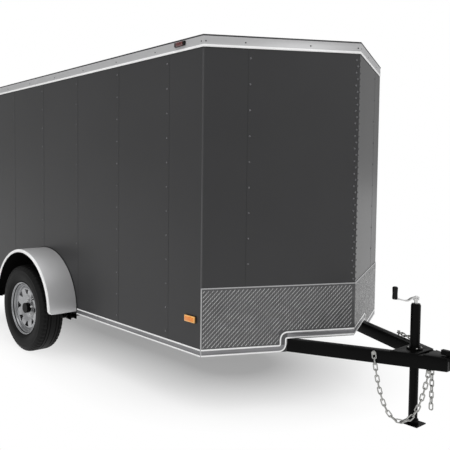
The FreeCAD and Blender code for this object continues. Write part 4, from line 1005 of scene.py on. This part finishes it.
edging, edge_proud = 22 * MM, 1.4 * MM
for label in ("right", "left"):
    low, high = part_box(f"rear_door_{label}")
    outer, inner = REAR - edge_proud, REAR + 1 * MM
    edges = panels(
        ((outer, low.y, low.z), (inner, low.y + edging, high.z), 0.6, 0),
        ((outer, high.y - edging, low.z), (inner, high.y, high.z), 0.6, 0),
        ((outer, low.y + edging, low.z), (inner, high.y - edging, low.z + edging), 0.6, 0),
        ((outer, low.y + edging, high.z - edging), (inner, high.y - edging, high.z), 0.6, 0))
    show(f"door_edging_{label}", edges, f"door_{label}", "mill_aluminium", white_trim)
    lock_low, lock_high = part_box(f"door_lock_{label}")
    guide_half = 30 * MM
    rod_y = lock_high.y - guide_half if label == "right" else lock_low.y + guide_half
    cams, keepers = [], []
    for cam_base, keeper_base in ((lock_low.z - 16 * MM, opening_base - 36 * MM),
                                  (lock_high.z - 12 * MM, opening_top + 4 * MM)):
        cams.append(((REAR - 31 * MM, rod_y - 17 * MM, cam_base),
                     (REAR - 9 * MM, rod_y + 17 * MM, cam_base + 28 * MM), 3, 0))
        keepers.append(((REAR - 12 * MM, rod_y - 26 * MM, keeper_base),
                        (REAR, rod_y + 26 * MM, keeper_base + 32 * MM), 2, 0))
    show(f"lock_cams_{label}", panels(*cams), f"door_{label}", "zinc_steel", zinc)
    show(f"lock_keepers_{label}", panels(*keepers), "trailer", "zinc_steel", zinc)
    spots = []
    strap_low, strap_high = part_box(f"hinge_straps_{label}")
    hinge_side = -1 if label == "right" else 1
    for step in range(3):
        z = strap_low.z + 25 * MM + (strap_high.z - strap_low.z - 50 * MM) * step / 2
        for reach_in in (90, 150, 210, 260):
            y = hinge_side * (HALF - reach_in * MM)
            spots.append((Vector((strap_low.x - 0 * MM, y, z)), facing(Vector((-1, 0, 0)))))
    for z in (lock_low.z + 80 * MM, lock_high.z - 80 * MM):
        for across in (-22, 22):
            spots.append((Vector((REAR - 24 * MM, rod_y + across * MM, z)),
                          facing(Vector((-1, 0, 0)))))
    heads(f"door_bolts_{label}", spots, (8, 8, 5), f"door_{label}", "zinc_steel", bright_steel)


# %% [markdown]
# Inside, the walls and doors are lined with thin plywood in sheets 1.2 m wide. The sheets butt
# at the wall posts with a narrow gap, and a row of screws runs down each side of the gap.

# %% Plywood lining
sheet_width, sheet_gap, ply = 1219 * MM, 3 * MM, 1.5 * MM
floor_top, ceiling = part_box("floor_deck")[1].z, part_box("roof")[0].z
inside_low, inside_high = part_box("floor_deck")
lining_rear = inside_low.x + 4 * MM
inner_half = inside_high.y
for side, label in ((-1, "right"), (1, "left")):
    mirror = 1 if side < 0 else -1
    inward = Vector((0, -side, 0))
    wall_front = FRONT - 12 * MM
    sheets, screws = [], []
    x = lining_rear
    while x < wall_front:
        end = min(x + sheet_width - sheet_gap, wall_front)
        near, far = sorted((side * inner_half, side * (inner_half - ply)))
        sheets.append(((x, near, floor_top + 2 * MM), (end, far, ceiling - 2 * MM), 0.4, 0))
        for column in (x + 20 * MM, end - 20 * MM):
            for row in range(9):
                place = Vector((column, side * (inner_half - ply), floor_top + 90 * MM
                                + (ceiling - floor_top - 180 * MM) * row / 8))
                screws.append((place, facing(inward)))
        x = end + sheet_gap
    show(f"wall_lining_{label}", panels(*sheets), "trailer", "plywood", lining_ply)
    heads(f"lining_screws_{label}", screws, (4.5, 4.5, 1.4), "trailer", "zinc_steel", zinc)

    corner = Vector((inside_high.x - NOSE * inner_half / HALF, side * inner_half, 0))
    tip = Vector((inside_high.x, 0, 0))
    back = Vector((-OUTWARD.x, -OUTWARD.y * mirror, 0)) * ply
    way = (tip - corner).normalized() * 4 * MM
    frames = [(corner + way, back, Vector((0, 0, 1))), (tip - way, back, Vector((0, 0, 1)))]
    section = [(0, floor_top + 2 * MM), (1, floor_top + 2 * MM), (1, ceiling - 2 * MM),
               (0, ceiling - 2 * MM)]
    show(f"nose_lining_{label}", swept(frames, section), "trailer", "plywood", lining_ply)

    door_low, door_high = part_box(f"rear_door_{label}")
    inset = 45 * MM
    show(f"door_lining_{label}",
         panels(((door_high.x - 0.5 * MM, door_low.y + inset, door_low.z + inset),
                 (door_high.x + ply, door_high.y - inset, door_high.z - inset), 0.4, 0)),
         f"door_{label}", "plywood", lining_ply)

# %% [markdown]
# The blank plate has round corners and a pressed border: one outline carried back, forward and
# then in at a smaller scale, so that the middle sits lower than the rim.

# %% Number plate
plate_low, plate_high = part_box("number_plate")
plate_mid = (plate_low + plate_high) / 2
corner = 12 * MM
half_y, half_z = (plate_high.y - plate_low.y) / 2, (plate_high.z - plate_low.z) / 2
plate_outline = []
for quarter, (y, z) in enumerate(((1, 1), (-1, 1), (-1, -1), (1, -1))):
    for step in range(7):
        angle = math.radians(90 * quarter + 15 * step)
        plate_outline.append((y * (half_y - corner) + corner * math.cos(angle),
                              z * (half_z - corner) + corner * math.sin(angle)))
plate_frames = [(Vector((x, plate_mid.y, plate_mid.z)), Vector((0, size, 0)),
                 Vector((0, 0, size)))
                for x, size in ((plate_high.x, 1), (plate_low.x + 0.6 * MM, 1),
                                (plate_low.x, 0.99), (plate_low.x, 0.965),
                                (plate_low.x + 1 * MM, 0.955))]
plate = show("number_plate_pressed", swept(plate_frames, plate_outline), 
             body_of(NODES["number_plate"])[0], "mill_aluminium", plate_white)
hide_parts("number_plate")
plate_bolts = [(Vector((plate_low.x + 1 * MM, plate_mid.y + across * half_y * 0.58,
                        plate_mid.z + rise * half_z * 0.8)), facing(Vector((-1, 0, 0))))
               for across in (-1, 1) for rise in (-1, 1)]
heads("plate_bolts", plate_bolts, (5.5, 5.5, 3), body_of(NODES["number_plate"])[0],
      "zinc_steel", zinc)

# %% [markdown]
# Lights: every lens is a block with softened edges, set in a border or a black base. The tail
# lights carry a ribbed red lens above a clear one.

# %% Lights
tail_low, tail_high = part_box("tail_lights")
post_low, post_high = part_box("rear_post_right")
lamp_half = (post_low.y + post_high.y) / 2 - tail_low.y
split = tail_low.z + 44 * MM
tail_boxes = []
for side in (-1, 1):
    middle = side * -(post_low.y + post_high.y) / 2
    low_y, high_y = middle - lamp_half, middle + lamp_half
    tail_boxes.append(((REAR - 9 * MM, low_y, tail_low.z), (REAR, high_y, tail_high.z), 3, 1))
    for base, top, finish in ((tail_low.z + 4 * MM, split - 1 * MM, 2),
                              (split + 1 * MM, tail_high.z - 4 * MM, 0)):
        tail_boxes.append(((tail_low.x + 1.5 * MM, low_y + 4 * MM, base),
                           (REAR - 7 * MM, high_y - 4 * MM, top), 4, finish))
    for step in range(9):
        z = split + (9 + 9 * step) * MM
        tail_boxes.append(((tail_low.x, low_y + 8 * MM, z - 1.5 * MM),
                           (tail_low.x + 5 * MM, high_y - 8 * MM, z + 1.5 * MM), 1, 0))
tails = show("tail_light_lenses", panels(*tail_boxes), "trailer", "red_lens", brake_red,
             grip_rubber, clear_lens)
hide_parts("tail_lights")

lights_low, lights_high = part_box("amber_side_lights")
marks_low, marks_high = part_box("red_marker_lights")
amber_parts, red_parts = [], []
for side in (-1, 1):
    def out_to(distance, side=side):
        return side * (HALF + distance * MM)

    def lens(low, high, inset, depths, radius, side=side):
        """A block over a box's outline, shrunk all round, between two depths off the wall."""
        near, far = sorted(out_to(depth) for depth in depths)
        return block((low.x + inset * MM, near, low.z + inset * MM),
                     (high.x - inset * MM, far, high.z - inset * MM), radius)

    amber_parts += [(lens(lights_low, lights_high, 0, (0, 6), 2), 2),
                    (lens(lights_low, lights_high, 2, (4, 16), 3), 1),
                    (lens(lights_low, lights_high, 8, (14, 18), 1.5), 0)]
    ends = (marks_high - marks_low).x * 0.16
    inner_low, inner_high = marks_low + Vector((ends, 0, 0)), marks_high - Vector((ends, 0, 0))
    red_parts += [(lens(marks_low, marks_high, 0, (0, 12), 5), 1),
                  (lens(inner_low, inner_high, 1.5, (6, 18), 6), 0)]
amber_lights = show("amber_reflectors", joined(*amber_parts), "trailer", "amber_lens", amber,
                    amber_rim, grip_rubber)
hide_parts("amber_side_lights")
marker_lights = show("red_oval_markers", joined(*red_parts), "trailer", "red_lens", red,
                     grip_rubber)
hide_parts("red_marker_lights")

# %% [markdown]
# A seamless white studio: the floor is white under the trailer and fades to pure white further
# out, where only camera and mirror rays see it. That white is a painted glow, weakest near the
# trailer, so it lightens the cast shadow there and sets where the shadow fades out. The lamps are
# large and soft.


# %% Floor and light
def studio_floor():
    material, tree, place, shader = new_material("studio_floor_white")
    shader.inputs["Base Color"].default_value = linear("#F4F4F4")
    shader.inputs["Roughness"].default_value = 0.9
    spot = add(tree, "ShaderNodeSeparateXYZ", {"Vector": place})
    off = add(tree, "ShaderNodeMath", {0: spot.outputs["X"], 1: (FRONT + REAR) / 2},
              operation="SUBTRACT")
    off = add(tree, "ShaderNodeMath", {0: off.outputs[0]}, operation="ABSOLUTE")
    off = add(tree, "ShaderNodeMath", {0: off.outputs[0], 1: (FRONT - REAR) / 2 - 0.6},
              operation="SUBTRACT")
    off = add(tree, "ShaderNodeMath", {0: off.outputs[0], 1: 0.0}, operation="MAXIMUM")
    off = add(tree, "ShaderNodeMath", {0: off.outputs[0], 1: 1.15}, operation="MULTIPLY")
    flat = add(tree, "ShaderNodeCombineXYZ", {"X": off.outputs[0], "Y": spot.outputs["Y"]})
    far = add(tree, "ShaderNodeVectorMath", {0: flat.outputs[0]}, operation="LENGTH")
    fade = add(tree, "ShaderNodeMapRange", {"Value": far.outputs["Value"], "From Min": 0.3,
                                            "From Max": 1.4, "To Min": 0.3})
    rays = add(tree, "ShaderNodeLightPath")
    seen = add(tree, "ShaderNodeMath", {0: rays.outputs["Is Camera Ray"],
                                        1: rays.outputs["Is Glossy Ray"]}, operation="MAXIMUM")
    amount = add(tree, "ShaderNodeMath", {0: seen.outputs[0], 1: fade.outputs[0]},
                 operation="MULTIPLY")
    white = add(tree, "ShaderNodeEmission", {"Color": (1, 1, 1, 1), "Strength": 1.0})
    mixed = add(tree, "ShaderNodeMixShader", {0: amount.outputs[0], 1: shader.outputs[0],
                                              2: white.outputs[0]})
    output = next(n for n in tree.nodes if n.bl_idname == "ShaderNodeOutputMaterial")
    tree.links.new(mixed.outputs[0], output.inputs["Surface"])
    return material


floor_mesh = bpy.data.meshes.new("studio_floor")
reach = 60.0
floor_mesh.from_pydata([(-reach, -reach, 0), (reach, -reach, 0), (reach, reach, 0),
                        (-reach, reach, 0)], [], [(0, 1, 2, 3)])
floor_mesh.materials.append(studio_floor())
floor = bpy.data.objects.new("studio_floor", floor_mesh)
bpy.context.scene.collection.objects.link(floor)

world = bpy.data.worlds.new("studio")
bpy.context.scene.world = world
world.use_nodes = True
world.node_tree.nodes.clear()
rays = add(world.node_tree, "ShaderNodeLightPath")
seen = add(world.node_tree, "ShaderNodeMath", {0: rays.outputs["Is Camera Ray"],
                                               1: rays.outputs["Is Transmission Ray"]},
           operation="MAXIMUM")
ambient = add(world.node_tree, "ShaderNodeBackground", {"Color": (1, 1, 1, 1), "Strength": 0.5})
backdrop = add(world.node_tree, "ShaderNodeBackground", {"Color": (1, 1, 1, 1), "Strength": 1.0})
mixed = add(world.node_tree, "ShaderNodeMixShader", {0: seen.outputs[0], 1: ambient.outputs[0],
                                                     2: backdrop.outputs[0]})
add(world.node_tree, "ShaderNodeOutputWorld", {"Surface": mixed.outputs[0]})


def lamp(name, place, aim, width, height, power):
    light = bpy.data.lights.new(name, "AREA")
    light.shape = "RECTANGLE"
    light.size = width
    light.size_y = height
    light.energy = power
    made = bpy.data.objects.new(name, light)
    made.location = place
    made.rotation_euler = (Vector(aim) - Vector(place)).to_track_quat("-Z", "Y").to_euler()
    bpy.context.scene.collection.objects.link(made)


lamp("overhead", (0.5, -0.5, 6.5), (0, 0, 0), 7, 7, 300)
lamp("front_fill", (6.5, 3.5, 4.2), (1.2, 0.4, 1.5), 3, 4, 80)
lamp("side_fill", (0.6, -7.5, 3.0), (0, -0.9, 1.0), 6, 3, 80)

# %% [markdown]
# The camera stands ahead of the trailer's right front corner at eye height, looking back at it
# through a lens just short of 50 mm, with the frame shifted so that the trailer sits low left.

# %% Camera
SENSOR = 36.0
eye = Vector((FRONT + 2.5067, -3.3769, 1.4219))
yaw, pitch, roll = 2.51409, 0.05319, 0.00173
look = Vector((math.cos(yaw) * math.cos(pitch), math.sin(yaw) * math.cos(pitch), -math.sin(pitch)))
right = Vector((math.sin(yaw), -math.cos(yaw), 0))
up = right.cross(look)
right, up = (right * math.cos(roll) + up * math.sin(roll),
             up * math.cos(roll) - right * math.sin(roll))
lens = bpy.data.cameras.new("eye")
lens.sensor_width = SENSOR
lens.lens = 48.25
lens.shift_x = 0.2522
lens.shift_y = -0.0431
lens.clip_end = 200
camera = bpy.data.objects.new("eye", lens)
turn = Matrix((right, up, -look)).transposed()
camera.matrix_world = Matrix.Translation(eye) @ turn.to_4x4()
bpy.context.scene.collection.objects.link(camera)
bpy.context.scene.camera = camera
bpy.context.scene.view_settings.view_transform = "Standard"
